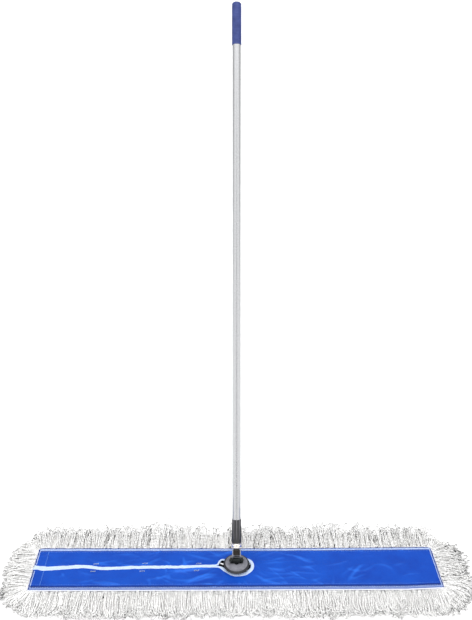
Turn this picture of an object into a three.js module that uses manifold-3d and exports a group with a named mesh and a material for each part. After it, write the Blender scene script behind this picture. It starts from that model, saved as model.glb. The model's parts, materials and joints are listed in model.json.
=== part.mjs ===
// Flat dust mop: a cotton mop head on a wire frame, with a swivelling, tilting handle.
// Millimetres, +Z up. The origin is the centre of the sole, on the floor. +X runs along the
// mop head, and at rest the handle leans back towards +Y.
// Run as a module: the default export is a THREE.Group with one named mesh per piece.

import * as THREE from "three";
import { mergeVertices } from "three/addons/utils/BufferGeometryUtils.js";
import Module from "manifold-3d";

const wasm = await Module();
wasm.setup();

// ---------------------------------------------------------------- driving dimensions

const gap = 0.3; // between pieces that touch
const roundSides = 32; // sides of a turned piece

// Mop head: the pocket takes a 48 in frame.
const backing = { length: 1219, width: 155, top: 23, thickness: 1.2 };
const fringe = { reach: 88, cornerRadius: 88, crown: 28, floorEdge: 5 };
const canvas = { bottom: 12, thickness: 1, margin: 3 };
const trim = { thickness: 0.8, edgeWidth: 8, hemWidth: 30 };
const binding = { thickness: 1, slitGap: 0.4, widthAtEnd: 9.2, widthRoundHole: 10 };
const closureTab = { length: 26, width: 44, thickness: 0.8, places: [-428, -280, -117] };

// Wire frame, held between two round plates at the swivel.
const wire = { radius: 3, axisHeight: 18.2, innerEnd: 6, neckEnd: 38, shoulder: 100, end: 592 };
const wireBend = { halfNeck: 10, halfWidth: 60, neckRadius: 10, cornerRadius: 22 };
const plate = { radius: 27, thickness: 1.6, boreRadius: 2 };
const rivet = { radius: 2.2, x: 13, y: 18, top: 29.6, holeTop: 30 };

// Swivel: a cap fixed on the frame, and a post that turns in it.
const cover = { rimRadius: 39.5, hubRadius: 26.5, top: 39.5, rimBottom: 34.5 };
const coverBore = { radius: 6.9, cavityRadius: 16.5 };
const post = { radius: 6.5, flangeRadius: 15, flangeThickness: 2.6 };
const washerRing = { innerRadius: 6.9, outerRadius: 15.8, thickness: 1.6 };
const postScrew = { headRadius: 5, headHeight: 2.6, shankRadius: 2.4, top: 45.4 };

// Pivot block: a nylon knuckle, with a slot for each arm of the yoke.
const pivotHeight = 50;
const block = { width: 38.5, radius: 7.9, footHalfDepth: 4.5, bottom: 42 };
const pin = { radius: 2.5, boreRadius: 2.9, headRadius: 4.6, headThickness: 1.8 };

// Yoke and handle, measured along the handle from the tilt axis.
const yoke = { halfWidth: 12.8, armThickness: 2.6, bridgeBottom: 38, bridgeTop: 40.7 };
const yokeArm = { endRadius: 5.2, halfDepth: 7.6, shoulder: 24 };
const neck = { collarBottom: 11.5, collarTop: 16.5, collarHalfDepth: 5, coreHalfDepth: 4.6 };
const ferrule = { bottom: 41, top: 54.5, radius: 16.4 };
const socket = { bottom: 54.8, floor: 69.4, top: 125.5, bottomRadius: 15.4, topRadius: 13.9, boreRadius: 13 };
const stud = { radius: 5.5, boreRadius: 5.9, headRadius: 9.6, headBottom: 31, top: 98 };
const insert = { bottom: 70, top: 112, radius: 11.4 };
const tube = { radius: 12.7, boreRadius: 11.7, bottom: 70, top: 1655 };
const grip = { bottom: 1539, top: 1665, radius: 14.2, boreRadius: 13, innerTop: 1658 };

// At rest the handle leans back from the vertical by this much.
const restLean = THREE.MathUtils.degToRad(25.2);

// ---------------------------------------------------------------- finishes

const finish = {
  cotton: new THREE.MeshStandardMaterial({ color: 0xf1efea, roughness: 1, metalness: 0 }),
  canvas: new THREE.MeshStandardMaterial({ color: 0x1c1d22, roughness: 1, metalness: 0 }),
  nylon: new THREE.MeshStandardMaterial({ color: 0x1f55c8, roughness: 0.55, metalness: 0 }),
  tape: new THREE.MeshStandardMaterial({ color: 0xe9e9f6, roughness: 0.9, metalness: 0 }),
  springSteel: new THREE.MeshStandardMaterial({ color: 0xb8bbbf, roughness: 0.35, metalness: 1 }),
  zincSteel: new THREE.MeshStandardMaterial({ color: 0xc3c5c8, roughness: 0.4, metalness: 1 }),
  greyPlastic: new THREE.MeshStandardMaterial({ color: 0x85858a, roughness: 0.6, metalness: 0 }),
  blackPlastic: new THREE.MeshStandardMaterial({ color: 0x232326, roughness: 0.5, metalness: 0 }),
  whitePlastic: new THREE.MeshStandardMaterial({ color: 0xe6e6e4, roughness: 0.5, metalness: 0 }),
  chrome: new THREE.MeshStandardMaterial({ color: 0xf2f2f2, roughness: 0.08, metalness: 1 }),
  aluminium: new THREE.MeshStandardMaterial({ color: 0xd4d6d8, roughness: 0.3, metalness: 1 }),
  gripBlue: new THREE.MeshStandardMaterial({ color: 0x4a5fae, roughness: 0.7, metalness: 0 }),
};

// ---------------------------------------------------------------- shape helpers

function toSolid(geometry) {
  const bare = geometry.clone();
  bare.deleteAttribute("normal");
  bare.deleteAttribute("uv");
  const merged = mergeVertices(bare, 1e-3);
  const corners = [];
  for (let i = 0; i < merged.index.count; i += 3) {
    const triangle = [0, 1, 2].map((k) => merged.index.getX(i + k));
    if (new Set(triangle).size === 3) {
      corners.push(...triangle);
    }
  }
  const vertProperties = Float32Array.from(merged.attributes.position.array);
  const triVerts = Uint32Array.from(corners);
  return new wasm.Manifold(new wasm.Mesh({ numProp: 3, vertProperties, triVerts }));
}

function toGeometry(solid) {
  const mesh = solid.getMesh();
  const geometry = new THREE.BufferGeometry();
  geometry.setAttribute("position", new THREE.BufferAttribute(mesh.vertProperties, 3));
  geometry.setIndex(new THREE.BufferAttribute(mesh.triVerts, 1));
  return geometry;
}

function cut(geometry, ...tools) {
  const solid = tools.reduce((left, tool) => left.subtract(toSolid(tool)), toSolid(geometry));
  return toGeometry(solid);
}

// A turned piece. The profile is a list of [radius, height], counter-clockwise.
function turned(profile, sides = roundSides) {
  const points = profile.map(([radius, height]) => new THREE.Vector2(radius, height));
  return new THREE.LatheGeometry(points, sides).rotateX(Math.PI / 2);
}

function cylinder(radius, bottom, top, sides = roundSides) {
  return turned([[0, bottom], [radius, bottom], [radius, top], [0, top]], sides);
}

function tubeSection(innerRadius, outerRadius, bottom, top, sides = roundSides) {
  const corners = [[innerRadius, bottom], [outerRadius, bottom], [outerRadius, top], [innerRadius, top]];
  return turned([...corners, corners[0]], sides);
}

// A cylinder along X, centred on x = 0, y = 0, z = 0.
function crossCylinder(radius, length, sides = roundSides) {
  return cylinder(radius, -length / 2, length / 2, sides).rotateY(Math.PI / 2);
}

function box(x0, x1, y0, y1, z0, z1) {
  const geometry = new THREE.BoxGeometry(x1 - x0, y1 - y0, z1 - z0);
  return geometry.translate((x0 + x1) / 2, (y0 + y1) / 2, (z0 + z1) / 2);
}

function flatPiece(shape, bottom, thickness) {
  const settings = { depth: thickness, bevelEnabled: false, curveSegments: 12 };
  return new THREE.ExtrudeGeometry(shape, settings).translate(0, 0, bottom);
}

// Extrudes an outline drawn in the Y-Z plane along X, centred on x = 0.
function crossPiece(shape, width) {
  const settings = { depth: width, bevelEnabled: false, curveSegments: 16 };
  const geometry = new THREE.ExtrudeGeometry(shape, settings).translate(0, 0, -width / 2);
  return geometry.rotateX(Math.PI / 2).rotateZ(Math.PI / 2);
}

function piece(name, geometry, material) {
  const mesh = new THREE.Mesh(geometry, material);
  mesh.name = name;
  return mesh;
}

// ---------------------------------------------------------------- mop head

// Points of a rectangle with round corners, counter-clockwise.
function roundedOutline(halfLength, halfWidth, radius, stepsPerCorner) {
  const centres = [[1, 1], [-1, 1], [-1, -1], [1, -1]];
  const points = [];
  centres.forEach(([sideX, sideY], corner) => {
    for (let step = 0; step <= stepsPerCorner; step += 1) {
      const angle = (corner + step / stepsPerCorner) * Math.PI / 2;
      const x = sideX * (halfLength - radius) + radius * Math.cos(angle);
      const y = sideY * (halfWidth - radius) + radius * Math.sin(angle);
      points.push([x, y]);
    }
  });
  return points;
}

// A closed pad: the profile's levels are [inset from the outer edge, height], from the sole
// out to the edge and back over the top.
function loftedPad(levels, halfLength, halfWidth, cornerRadius) {
  const positions = [0, 0, levels[0][1]];
  const faces = [];
  const outlines = levels.map(([inset]) => (
    roundedOutline(halfLength - inset, halfWidth - inset, cornerRadius - inset, 6)
  ));
  outlines.forEach((outline, level) => {
    outline.forEach(([x, y]) => positions.push(x, y, levels[level][1]));
  });
  positions.push(0, 0, levels[levels.length - 1][1]);
  const count = outlines[0].length;
  const topCentre = 1 + count * levels.length;
  const vertex = (level, k) => 1 + level * count + (k % count);
  for (let k = 0; k < count; k += 1) {
    faces.push(0, vertex(0, k + 1), vertex(0, k));
    for (let level = 0; level + 1 < levels.length; level += 1) {
      faces.push(vertex(level, k), vertex(level, k + 1), vertex(level + 1, k + 1));
      faces.push(vertex(level, k), vertex(level + 1, k + 1), vertex(level + 1, k));
    }
    faces.push(topCentre, vertex(levels.length - 1, k), vertex(levels.length - 1, k + 1));
  }
  const geometry = new THREE.BufferGeometry();
  geometry.setAttribute("position", new THREE.Float32BufferAttribute(positions, 3));
  geometry.setIndex(faces);
  return geometry;
}

// Yarn under the canvas and the fringe round it: a flat sole, a crowned rim and a recess
// that the canvas and the frame's pocket lie in.
function cottonYarn() {
  const { reach, cornerRadius, crown, floorEdge } = fringe;
  const recessFloor = canvas.bottom - gap;
  const levels = [
    [0, 0],
    [0, floorEdge],
    [0.07 * reach, 0.4 * crown],
    [0.28 * reach, 0.72 * crown],
    [0.62 * reach, 0.96 * crown],
    [0.91 * reach, crown],
    [0.99 * reach, 0.93 * crown],
    [0.99 * reach, recessFloor],
  ];
  const halfLength = backing.length / 2 + reach;
  const halfWidth = backing.width / 2 + reach;
  return piece("cotton_yarn", loftedPad(levels, halfLength, halfWidth, cornerRadius), finish.cotton);
}

function rectangle(x0, x1, y0, y1) {
  const shape = new THREE.Shape();
  shape.moveTo(x0, y0);
  shape.lineTo(x1, y0);
  shape.lineTo(x1, y1);
  shape.lineTo(x0, y1);
  return shape;
}

function baseCanvas() {
  const halfLength = backing.length / 2 - canvas.margin;
  const halfWidth = backing.width / 2 - canvas.margin;
  const shape = rectangle(-halfLength, halfLength, -halfWidth, halfWidth);
  return piece("base_canvas", flatPiece(shape, canvas.bottom, canvas.thickness), finish.canvas);
}

// Edge of the keyhole round the swivel, from the rear side of the slit to its front side.
const keyholeEdge = new THREE.SplineCurve([
  new THREE.Vector2(-60, 4 + binding.slitGap),
  new THREE.Vector2(-54.5, 13.5),
  new THREE.Vector2(-48, 22),
  new THREE.Vector2(-36, 25.5),
  new THREE.Vector2(-16, 29),
  new THREE.Vector2(14, 29.5),
  new THREE.Vector2(33.5, 22),
  new THREE.Vector2(40.5, 4),
  new THREE.Vector2(34.5, -10.5),
  new THREE.Vector2(19.5, -23.5),
  new THREE.Vector2(0, -28),
  new THREE.Vector2(-21, -22.5),
  new THREE.Vector2(-38, -11),
  new THREE.Vector2(-50, 1),
  new THREE.Vector2(-60, 4 - binding.slitGap),
]);

// Points along the keyhole's edge, moved outwards by a distance.
function keyholeOffset(distance, steps = 48) {
  const points = [];
  for (let step = 0; step <= steps; step += 1) {
    const point = keyholeEdge.getPoint(step / steps);
    const tangent = keyholeEdge.getTangent(step / steps);
    points.push(new THREE.Vector2(point.x - tangent.y * distance, point.y + tangent.x * distance));
  }
  return points;
}

// The blue cloth, slit from its left end to the keyhole.
function blueBacking() {
  const halfLength = backing.length / 2;
  const halfWidth = backing.width / 2;
  const outline = [
    new THREE.Vector2(-halfLength, binding.slitGap),
    ...keyholeOffset(0),
    new THREE.Vector2(-halfLength, -binding.slitGap),
    new THREE.Vector2(-halfLength, -halfWidth),
    new THREE.Vector2(halfLength, -halfWidth),
    new THREE.Vector2(halfLength, halfWidth),
    new THREE.Vector2(-halfLength, halfWidth),
  ];
  const bottom = backing.top - backing.thickness;
  return piece("blue_backing", flatPiece(new THREE.Shape(outline), bottom, backing.thickness), finish.nylon);
}

// White tape along both edges of the slit and round the keyhole, as one strip.
function slitBinding() {
  const end = -backing.length / 2;
  const outline = [
    new THREE.Vector2(end, binding.slitGap),
    ...keyholeOffset(0),
    new THREE.Vector2(end, -binding.slitGap),
    new THREE.Vector2(end, -binding.widthAtEnd),
    ...keyholeOffset(binding.widthRoundHole).slice(1, -1).reverse(),
    new THREE.Vector2(end, binding.widthAtEnd),
  ];
  const shape = new THREE.Shape(outline);
  return piece("slit_binding", flatPiece(shape, backing.top + gap, binding.thickness), finish.tape);
}

// Stitched tape round the outer edge, open where the slit comes out at the left end.
function edgeBinding() {
  const halfLength = backing.length / 2;
  const halfWidth = backing.width / 2;
  const inner = trim.edgeWidth;
  const mouth = binding.widthAtEnd + gap;
  const outline = [
    [-halfLength, mouth], [-halfLength + inner, mouth], [-halfLength + inner, halfWidth - inner],
    [halfLength - inner, halfWidth - inner], [halfLength - inner, -halfWidth + inner],
    [-halfLength + inner, -halfWidth + inner], [-halfLength + inner, -mouth], [-halfLength, -mouth],
    [-halfLength, -halfWidth], [halfLength, -halfWidth], [halfLength, halfWidth], [-halfLength, halfWidth],
  ];
  const shape = new THREE.Shape(outline.map(([x, y]) => new THREE.Vector2(x, y)));
  return piece("edge_binding", flatPiece(shape, backing.top + gap, trim.thickness), finish.tape);
}

// Folded hem beside the left end, on one side of the slit.
function leftHem(name, side) {
  const x0 = -backing.length / 2 + trim.edgeWidth + gap;
  const x1 = x0 + trim.hemWidth - trim.edgeWidth;
  const inner = binding.widthAtEnd + gap;
  const outer = backing.width / 2 - trim.edgeWidth - gap;
  const shape = rectangle(x0, x1, Math.min(side * inner, side * outer), Math.max(side * inner, side * outer));
  return piece(name, flatPiece(shape, backing.top + gap, trim.thickness), finish.nylon);
}

// Short strap sewn under the backing, across the slit, that keeps the pocket shut.
function closureStrap(number, x) {
  const { length, width, thickness } = closureTab;
  const shape = rectangle(x - length / 2, x + length / 2, -width / 2, width / 2);
  const bottom = backing.top - backing.thickness - gap - thickness;
  return piece(`closure_strap_${number}`, flatPiece(shape, bottom, thickness), finish.tape);
}

function mopHead() {
  const group = new THREE.Group();
  group.add(cottonYarn(), baseCanvas(), blueBacking(), slitBinding(), edgeBinding());
  group.add(leftHem("left_hem_front", -1), leftHem("left_hem_rear", 1));
  closureTab.places.forEach((x, index) => group.add(closureStrap(index + 1, x)));
  return group;
}

// ---------------------------------------------------------------- wire frame

// Half of the frame: out of the clamp plates, round the end of the pocket and back.
function frameWire(name, side) {
  const { innerEnd, neckEnd, shoulder, end } = wire;
  const { halfNeck, halfWidth, neckRadius, cornerRadius } = wireBend;
  const rearCorners = [
    [innerEnd, halfNeck, 0],
    [neckEnd, halfNeck, neckRadius],
    [shoulder, halfWidth, cornerRadius],
    [end, halfWidth, cornerRadius],
  ];
  const frontCorners = rearCorners.map(([x, y, radius]) => [x, -y, radius]).reverse();
  const corners = [...rearCorners, ...frontCorners];
  const places = corners.map(([x, y]) => new THREE.Vector3(side * x, y, wire.axisHeight));
  const route = new THREE.CurvePath();
  let start = places[0];
  for (let k = 1; k + 1 < places.length; k += 1) {
    const radius = corners[k][2];
    const before = new THREE.Vector3().subVectors(places[k - 1], places[k]).setLength(radius).add(places[k]);
    const after = new THREE.Vector3().subVectors(places[k + 1], places[k]).setLength(radius).add(places[k]);
    route.add(new THREE.LineCurve3(start, before));
    route.add(new THREE.QuadraticBezierCurve3(before, places[k], after));
    start = after;
  }
  route.add(new THREE.LineCurve3(start, places[places.length - 1]));
  const section = new THREE.Shape().absarc(0, 0, wire.radius, 0, 2 * Math.PI);
  const settings = { steps: 62, curveSegments: 8, extrudePath: route, bevelEnabled: false };
  return piece(name, new THREE.ExtrudeGeometry(section, settings), finish.springSteel);
}

// Centres of the four rivets that clamp the plates and the cap.
function rivetPlaces() {
  return [[1, 1], [-1, 1], [-1, -1], [1, -1]].map(([sideX, sideY]) => [sideX * rivet.x, sideY * rivet.y]);
}

function rivetHoles(bottom, top) {
  return rivetPlaces().map(([x, y]) => cylinder(rivet.radius + gap, bottom, top, 16).translate(x, y, 0));
}

function clampPlate(name, bottom) {
  const top = bottom + plate.thickness;
  const disc = tubeSection(plate.boreRadius, plate.radius, bottom, top, 40);
  return piece(name, cut(disc, ...rivetHoles(bottom - 1, top + 1)), finish.zincSteel);
}

const wireBottom = wire.axisHeight - wire.radius;
const wireTop = wire.axisHeight + wire.radius;
const lowerPlateBottom = wireBottom - gap - plate.thickness;
const upperPlateBottom = wireTop + gap;
const upperPlateTop = upperPlateBottom + plate.thickness;

function frameAssembly() {
  const group = new THREE.Group();
  group.add(frameWire("left_wire", -1), frameWire("right_wire", 1));
  group.add(clampPlate("lower_plate", lowerPlateBottom), clampPlate("upper_plate", upperPlateBottom));
  rivetPlaces().forEach(([x, y], index) => {
    const shank = cylinder(rivet.radius, lowerPlateBottom, rivet.top, 16).translate(x, y, 0);
    group.add(piece(`plate_rivet_${index + 1}`, shank, finish.zincSteel));
  });
  group.add(swivelCover(), thrustWasher());
  return group;
}

// ---------------------------------------------------------------- swivel

const flangeBottom = upperPlateTop + 2 * gap;
const flangeTop = flangeBottom + post.flangeThickness;
const washerBottom = flangeTop + gap;
const washerTop = washerBottom + washerRing.thickness;
const cavityTop = washerTop + gap;

// Mushroom-shaped cap: a hub on the upper plate and a round brim over the keyhole.
function swivelCover() {
  const { rimRadius, hubRadius, top, rimBottom } = cover;
  const bottom = upperPlateTop + gap;
  const fillet = 2.4;
  const edge = 0.8;
  const slope = 3.2;
  const body = turned([
    [coverBore.cavityRadius, bottom],
    [hubRadius, bottom],
    [hubRadius, rimBottom - fillet],
    [hubRadius + fillet, rimBottom - 0.2 * fillet],
    [rimRadius - edge, rimBottom],
    [rimRadius, rimBottom + edge],
    [rimRadius - 0.4 * slope, top - 0.4 * slope],
    [rimRadius - slope, top],
    [coverBore.radius, top],
    [coverBore.radius, cavityTop],
    [coverBore.cavityRadius, cavityTop],
    [coverBore.cavityRadius, bottom],
  ], 48);
  return piece("swivel_cover", cut(body, ...rivetHoles(bottom - 1, rivet.holeTop)), finish.greyPlastic);
}

function thrustWasher() {
  const { innerRadius, outerRadius } = washerRing;
  const ring = tubeSection(innerRadius, outerRadius, washerBottom, washerTop);
  return piece("thrust_washer", ring, finish.whitePlastic);
}

// Flanged post that hangs in the cap, with a counterbore for the block's screw.
function swivelPost() {
  const shoulder = flangeBottom + postScrew.headHeight + gap;
  const body = turned([
    [postScrew.shankRadius + gap, shoulder],
    [postScrew.headRadius + gap, shoulder],
    [postScrew.headRadius + gap, flangeBottom],
    [post.flangeRadius, flangeBottom],
    [post.flangeRadius, flangeTop],
    [post.radius, flangeTop],
    [post.radius, block.bottom - gap],
    [postScrew.shankRadius + gap, block.bottom - gap],
    [postScrew.shankRadius + gap, shoulder],
  ]);
  return piece("swivel_post", body, finish.blackPlastic);
}

function blockScrew() {
  const { headRadius, headHeight, shankRadius, top } = postScrew;
  const profile = [[0, flangeBottom], [headRadius, flangeBottom], [headRadius, flangeBottom + headHeight]];
  const shank = [[shankRadius, flangeBottom + headHeight], [shankRadius, top], [0, top]];
  return piece("block_screw", turned([...profile, ...shank], 24), finish.zincSteel);
}

// Round-topped knuckle on a foot, slotted for the yoke's two arms and bored for the pin.
function pivotBlock() {
  const { width, radius, footHalfDepth, bottom } = block;
  const foot = bottom - pivotHeight;
  const joint = Math.asin(footHalfDepth / radius);
  const shape = new THREE.Shape();
  shape.moveTo(-footHalfDepth, foot);
  shape.lineTo(footHalfDepth, foot);
  shape.absarc(0, 0, radius, joint - Math.PI / 2, 3 * Math.PI / 2 - joint, false);
  const slotClearance = 0.4;
  const slotInner = yoke.halfWidth - yoke.armThickness - slotClearance;
  const slotOuter = yoke.halfWidth + slotClearance;
  const slotFloor = -yokeArm.endRadius - slotClearance;
  const slots = [1, -1].map((side) => {
    const x0 = Math.min(side * slotInner, side * slotOuter);
    const x1 = Math.max(side * slotInner, side * slotOuter);
    return box(x0, x1, -2 * radius, 2 * radius, slotFloor, 2 * radius);
  });
  const bore = crossCylinder(pin.boreRadius, width + 2, 20);
  const screwHole = cylinder(postScrew.shankRadius + gap, foot - 1, postScrew.top - pivotHeight + gap, 16);
  const solid = cut(crossPiece(shape, width), ...slots, bore, screwHole);
  return piece("pivot_block", solid.translate(0, 0, pivotHeight), finish.blackPlastic);
}

// The tilt axle: a pin with a round head at one end and a push-on nut at the other.
function pivotPin() {
  const end = block.width / 2 + gap;
  const { radius, headRadius, headThickness } = pin;
  const profile = [
    [0, -end - headThickness - 1],
    [radius, -end - headThickness - 1],
    [radius, end],
    [headRadius, end],
    [headRadius - 1, end + headThickness],
    [0, end + headThickness],
  ];
  const body = turned(profile, 20).rotateY(Math.PI / 2);
  return piece("pivot_pin", body.translate(0, 0, pivotHeight), finish.zincSteel);
}

function pinNut() {
  const end = block.width / 2 + gap;
  const nut = tubeSection(pin.radius + gap, pin.headRadius, -end - pin.headThickness, -end, 20);
  return piece("pin_nut", nut.rotateY(Math.PI / 2).translate(0, 0, pivotHeight), finish.zincSteel);
}

function swivelAssembly() {
  const group = new THREE.Group();
  group.add(swivelPost(), blockScrew(), pivotBlock(), pivotPin(), pinNut());
  return group;
}

// ---------------------------------------------------------------- handle

// Pressed steel yoke: two arms that narrow to round ends, joined by a bridge under the ferrule.
function steelYoke() {
  const { halfWidth, armThickness, bridgeBottom, bridgeTop } = yoke;
  const { endRadius, halfDepth, shoulder } = yokeArm;
  const shape = new THREE.Shape();
  shape.moveTo(endRadius, 0);
  shape.lineTo(halfDepth, shoulder);
  shape.lineTo(halfDepth, bridgeTop);
  shape.lineTo(-halfDepth, bridgeTop);
  shape.lineTo(-halfDepth, shoulder);
  shape.lineTo(-endRadius, 0);
  shape.absarc(0, 0, endRadius, Math.PI, 2 * Math.PI, false);
  const inner = halfWidth - armThickness;
  const window = box(-inner, inner, -2 * halfDepth, 2 * halfDepth, -2 * halfDepth, bridgeBottom);
  const axle = crossCylinder(pin.boreRadius, 2 * halfWidth + 2, 20);
  const studHole = cylinder(stud.boreRadius, bridgeBottom - 1, bridgeTop + 1, 24);
  const solid = cut(crossPiece(shape, 2 * halfWidth), window, axle, studHole);
  return piece("steel_yoke", solid, finish.zincSteel);
}

// Two spacers fill the yoke between the knuckle and the stud's head.
const spacerHalfWidth = yoke.halfWidth - yoke.armThickness - gap;

function neckCollar() {
  const { collarBottom, collarTop, collarHalfDepth } = neck;
  const x = spacerHalfWidth;
  const body = box(-x, x, -collarHalfDepth, collarHalfDepth, collarBottom, collarTop);
  return piece("neck_collar", body, finish.zincSteel);
}

function neckCore() {
  const { collarTop, coreHalfDepth } = neck;
  const x = spacerHalfWidth;
  const body = box(-x, x, -coreHalfDepth, coreHalfDepth, collarTop + gap, stud.headBottom - gap);
  return piece("neck_core", body, finish.blackPlastic);
}

function threadedStud() {
  const { radius, headRadius, headBottom, top } = stud;
  const headTop = yoke.bridgeBottom - gap;
  const head = cylinder(headRadius, headBottom, headTop, 6);
  const shank = cylinder(radius, headBottom + 1, top, 24);
  const solid = toSolid(head).add(toSolid(shank));
  return piece("threaded_stud", toGeometry(solid), finish.blackPlastic);
}

function ferruleRing() {
  const { bottom, top, radius } = ferrule;
  const bead = 1.6;
  const ring = turned([
    [stud.boreRadius, bottom],
    [radius - bead, bottom],
    [radius - 0.3 * bead, bottom + bead],
    [radius, (bottom + top) / 2],
    [radius - 0.3 * bead, top - bead],
    [radius - bead, top],
    [stud.boreRadius, top],
    [stud.boreRadius, bottom],
  ], 40);
  return piece("ferrule_ring", ring, finish.chrome);
}

// Tapered sleeve: the stud passes its floor, and the tube stands in its bore.
function socketSleeve() {
  const { bottom, floor, top, bottomRadius, topRadius, boreRadius } = socket;
  const sleeve = turned([
    [stud.boreRadius, bottom],
    [bottomRadius, bottom],
    [topRadius, top],
    [boreRadius, top],
    [boreRadius, floor],
    [stud.boreRadius, floor],
    [stud.boreRadius, bottom],
  ], 40);
  return piece("socket_sleeve", sleeve, finish.blackPlastic);
}

function tubeInsert() {
  const plug = tubeSection(stud.boreRadius, insert.radius, insert.bottom, insert.top);
  return piece("tube_insert", plug, finish.whitePlastic);
}

function handleTube() {
  const pipe = tubeSection(tube.boreRadius, tube.radius, tube.bottom, tube.top);
  return piece("handle_tube", pipe, finish.aluminium);
}

// Rubber grip, closed and rounded at the top.
function handGrip() {
  const { bottom, top, radius, boreRadius, innerTop } = grip;
  const body = turned([
    [boreRadius, bottom],
    [radius - 0.4, bottom],
    [radius, bottom + 1.5],
    [radius, top - 6],
    [radius - 1, top - 3],
    [radius - 4, top - 0.8],
    [radius - 8, top],
    [0, top],
    [0, innerTop],
    [boreRadius, innerTop],
    [boreRadius, bottom],
  ], 40);
  return piece("hand_grip", body, finish.gripBlue);
}

function handleAssembly() {
  const group = new THREE.Group();
  group.position.z = pivotHeight;
  group.rotation.x = -restLean;
  group.add(steelYoke(), neckCollar(), neckCore(), threadedStud(), ferruleRing());
  group.add(socketSleeve(), tubeInsert(), handleTube(), handGrip());
  return group;
}

// ---------------------------------------------------------------- the whole mop

const flatMop = new THREE.Group();
flatMop.add(mopHead(), frameAssembly(), swivelAssembly(), handleAssembly());

export default flatMop;
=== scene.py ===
"""Looks of the flat dust mop: looped cotton yarn, sewn cloth pocket, swivel and handle.

Metres, +Z up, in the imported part's frame: the mop head lies along X on the floor, and the
handle leans back towards +Y. Every random draw is seeded.
"""
import json
import math

import bpy
import numpy as np
from mathutils import Matrix, Vector


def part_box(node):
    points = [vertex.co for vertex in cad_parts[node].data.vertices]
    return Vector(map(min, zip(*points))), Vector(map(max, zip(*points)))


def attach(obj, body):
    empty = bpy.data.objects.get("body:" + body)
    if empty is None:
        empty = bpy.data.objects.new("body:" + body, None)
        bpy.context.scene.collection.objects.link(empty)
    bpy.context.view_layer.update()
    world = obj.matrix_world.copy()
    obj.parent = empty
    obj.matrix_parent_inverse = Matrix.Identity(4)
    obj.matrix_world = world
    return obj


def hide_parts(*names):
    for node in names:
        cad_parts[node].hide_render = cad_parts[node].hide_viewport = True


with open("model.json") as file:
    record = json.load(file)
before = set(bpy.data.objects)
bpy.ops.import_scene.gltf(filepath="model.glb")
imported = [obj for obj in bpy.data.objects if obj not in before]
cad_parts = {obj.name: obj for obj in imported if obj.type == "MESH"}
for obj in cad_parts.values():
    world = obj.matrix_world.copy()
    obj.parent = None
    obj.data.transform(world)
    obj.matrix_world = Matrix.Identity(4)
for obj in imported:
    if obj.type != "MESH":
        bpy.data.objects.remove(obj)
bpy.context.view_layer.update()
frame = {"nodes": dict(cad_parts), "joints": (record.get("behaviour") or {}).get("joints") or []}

MM = 0.001
FULL_TURN = 2 * math.pi

# ---------------- dimensions

BACKING_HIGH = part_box("blue_backing")[1]
HALF_LENGTH = BACKING_HIGH.x
HALF_WIDTH = BACKING_HIGH.y
CLOTH_TOP = BACKING_HIGH.z
CLOTH_THICKNESS = 0.7 * MM
WIRE_Y = 60 * MM
WIRE_END_X = 592 * MM

# The slit wanders from the left end to the keyhole round the swivel. Both in millimetres.
SLIT_HALF_GAP = 0.4 * MM
SLIT_PATH = [(-625, 6), (-596, 2), (-571, -1), (-512, 2.4), (-465, 5.4), (-440, 3.4), (-414, -1.8),
             (-396, -2.4), (-350, -1.4), (-284, 0.8), (-160, 0.8), (-110, 1.4), (-82, 2.6), (-54, 4.2)]
KEYHOLE = [(-54, 4.6), (-53, 10), (-49, 21), (-45, 25.8), (-40.5, 27.3), (-33, 26.2), (-16, 28.6),
           (16, 29.6), (38, 22.4), (44, 5), (41, -6.4), (26.5, -19.2), (6, -24.2), (-8, -22.8),
           (-22.5, -15), (-38, -3.6), (-47, 1.7), (-54, 3.8)]
KEYHOLE_START = KEYHOLE[0][0] * MM

TAPE_WIDTH_AT_END = 8.2 * MM
TAPE_WIDTH_AT_NECK = 5.6 * MM
TAPE_WIDTH_AT_KEYHOLE = 10.2 * MM
TAPE_HEIGHT = 2.3 * MM

HEM_SEAM_X = -HALF_LENGTH + 31 * MM
FOLD_WIDTH = 4.4 * MM
BAND_WIDTH = 9.4 * MM
HEADER_WIDTH = 3.2 * MM
HEADER_DROP = 2.4 * MM

# Insets from the edge to the middle of the overlocked band and of the dark strip of painted
# shade beside it: the shade strip is outside the band along the rear, and inside it along the front.
REAR_BAND, REAR_FOLD = 6.8 * MM, 0.8 * MM
FRONT_BAND, FRONT_FOLD = 3.6 * MM, 10.8 * MM
BAND_REACH = 14 * MM

# How the cloth's sides lie, as the outward shift of each side at some places along it.
SIDE_PLACES = np.array([-609, -380, 0, 100, 500, 609]) * MM
REAR_SHIFT = np.array([4.0, 1.5, -3.0, -4.0, -4.0, -3.5]) * MM
FRONT_SHIFT = np.array([2.5, 5.0, 8.0, 8.5, 11.0, 6.5]) * MM

STRAPS = [f"closure_strap_{number}" for number in (1, 2, 3)]
BAR_TACK_Y = 13.6 * MM

YARN_RADIUS = 1.65 * MM
YARN_TWIST_PITCH = 24 * MM
YARN_SQUASH = 0.72
TUBE_SIDES = 5
FRINGE_REACH = 88 * MM
FRINGE_CORNER = 108 * MM

# Handle: its axis runs from the tilt pivot through the middle of the tube.
PIVOT = Vector(next(j["pos_m"] for j in frame["joints"] if j["name"] == "handle_tilt"))
TUBE_LOW, TUBE_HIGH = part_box("handle_tube")
AXIS_POINT = (TUBE_LOW + TUBE_HIGH) / 2
LEAN = math.atan2(AXIS_POINT.y - PIVOT.y, AXIS_POINT.z - PIVOT.z)
HANDLE_FRAME = Matrix.Translation(PIVOT) @ Matrix.Rotation(-LEAN, 4, "X")


# ---------------- camera

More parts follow.
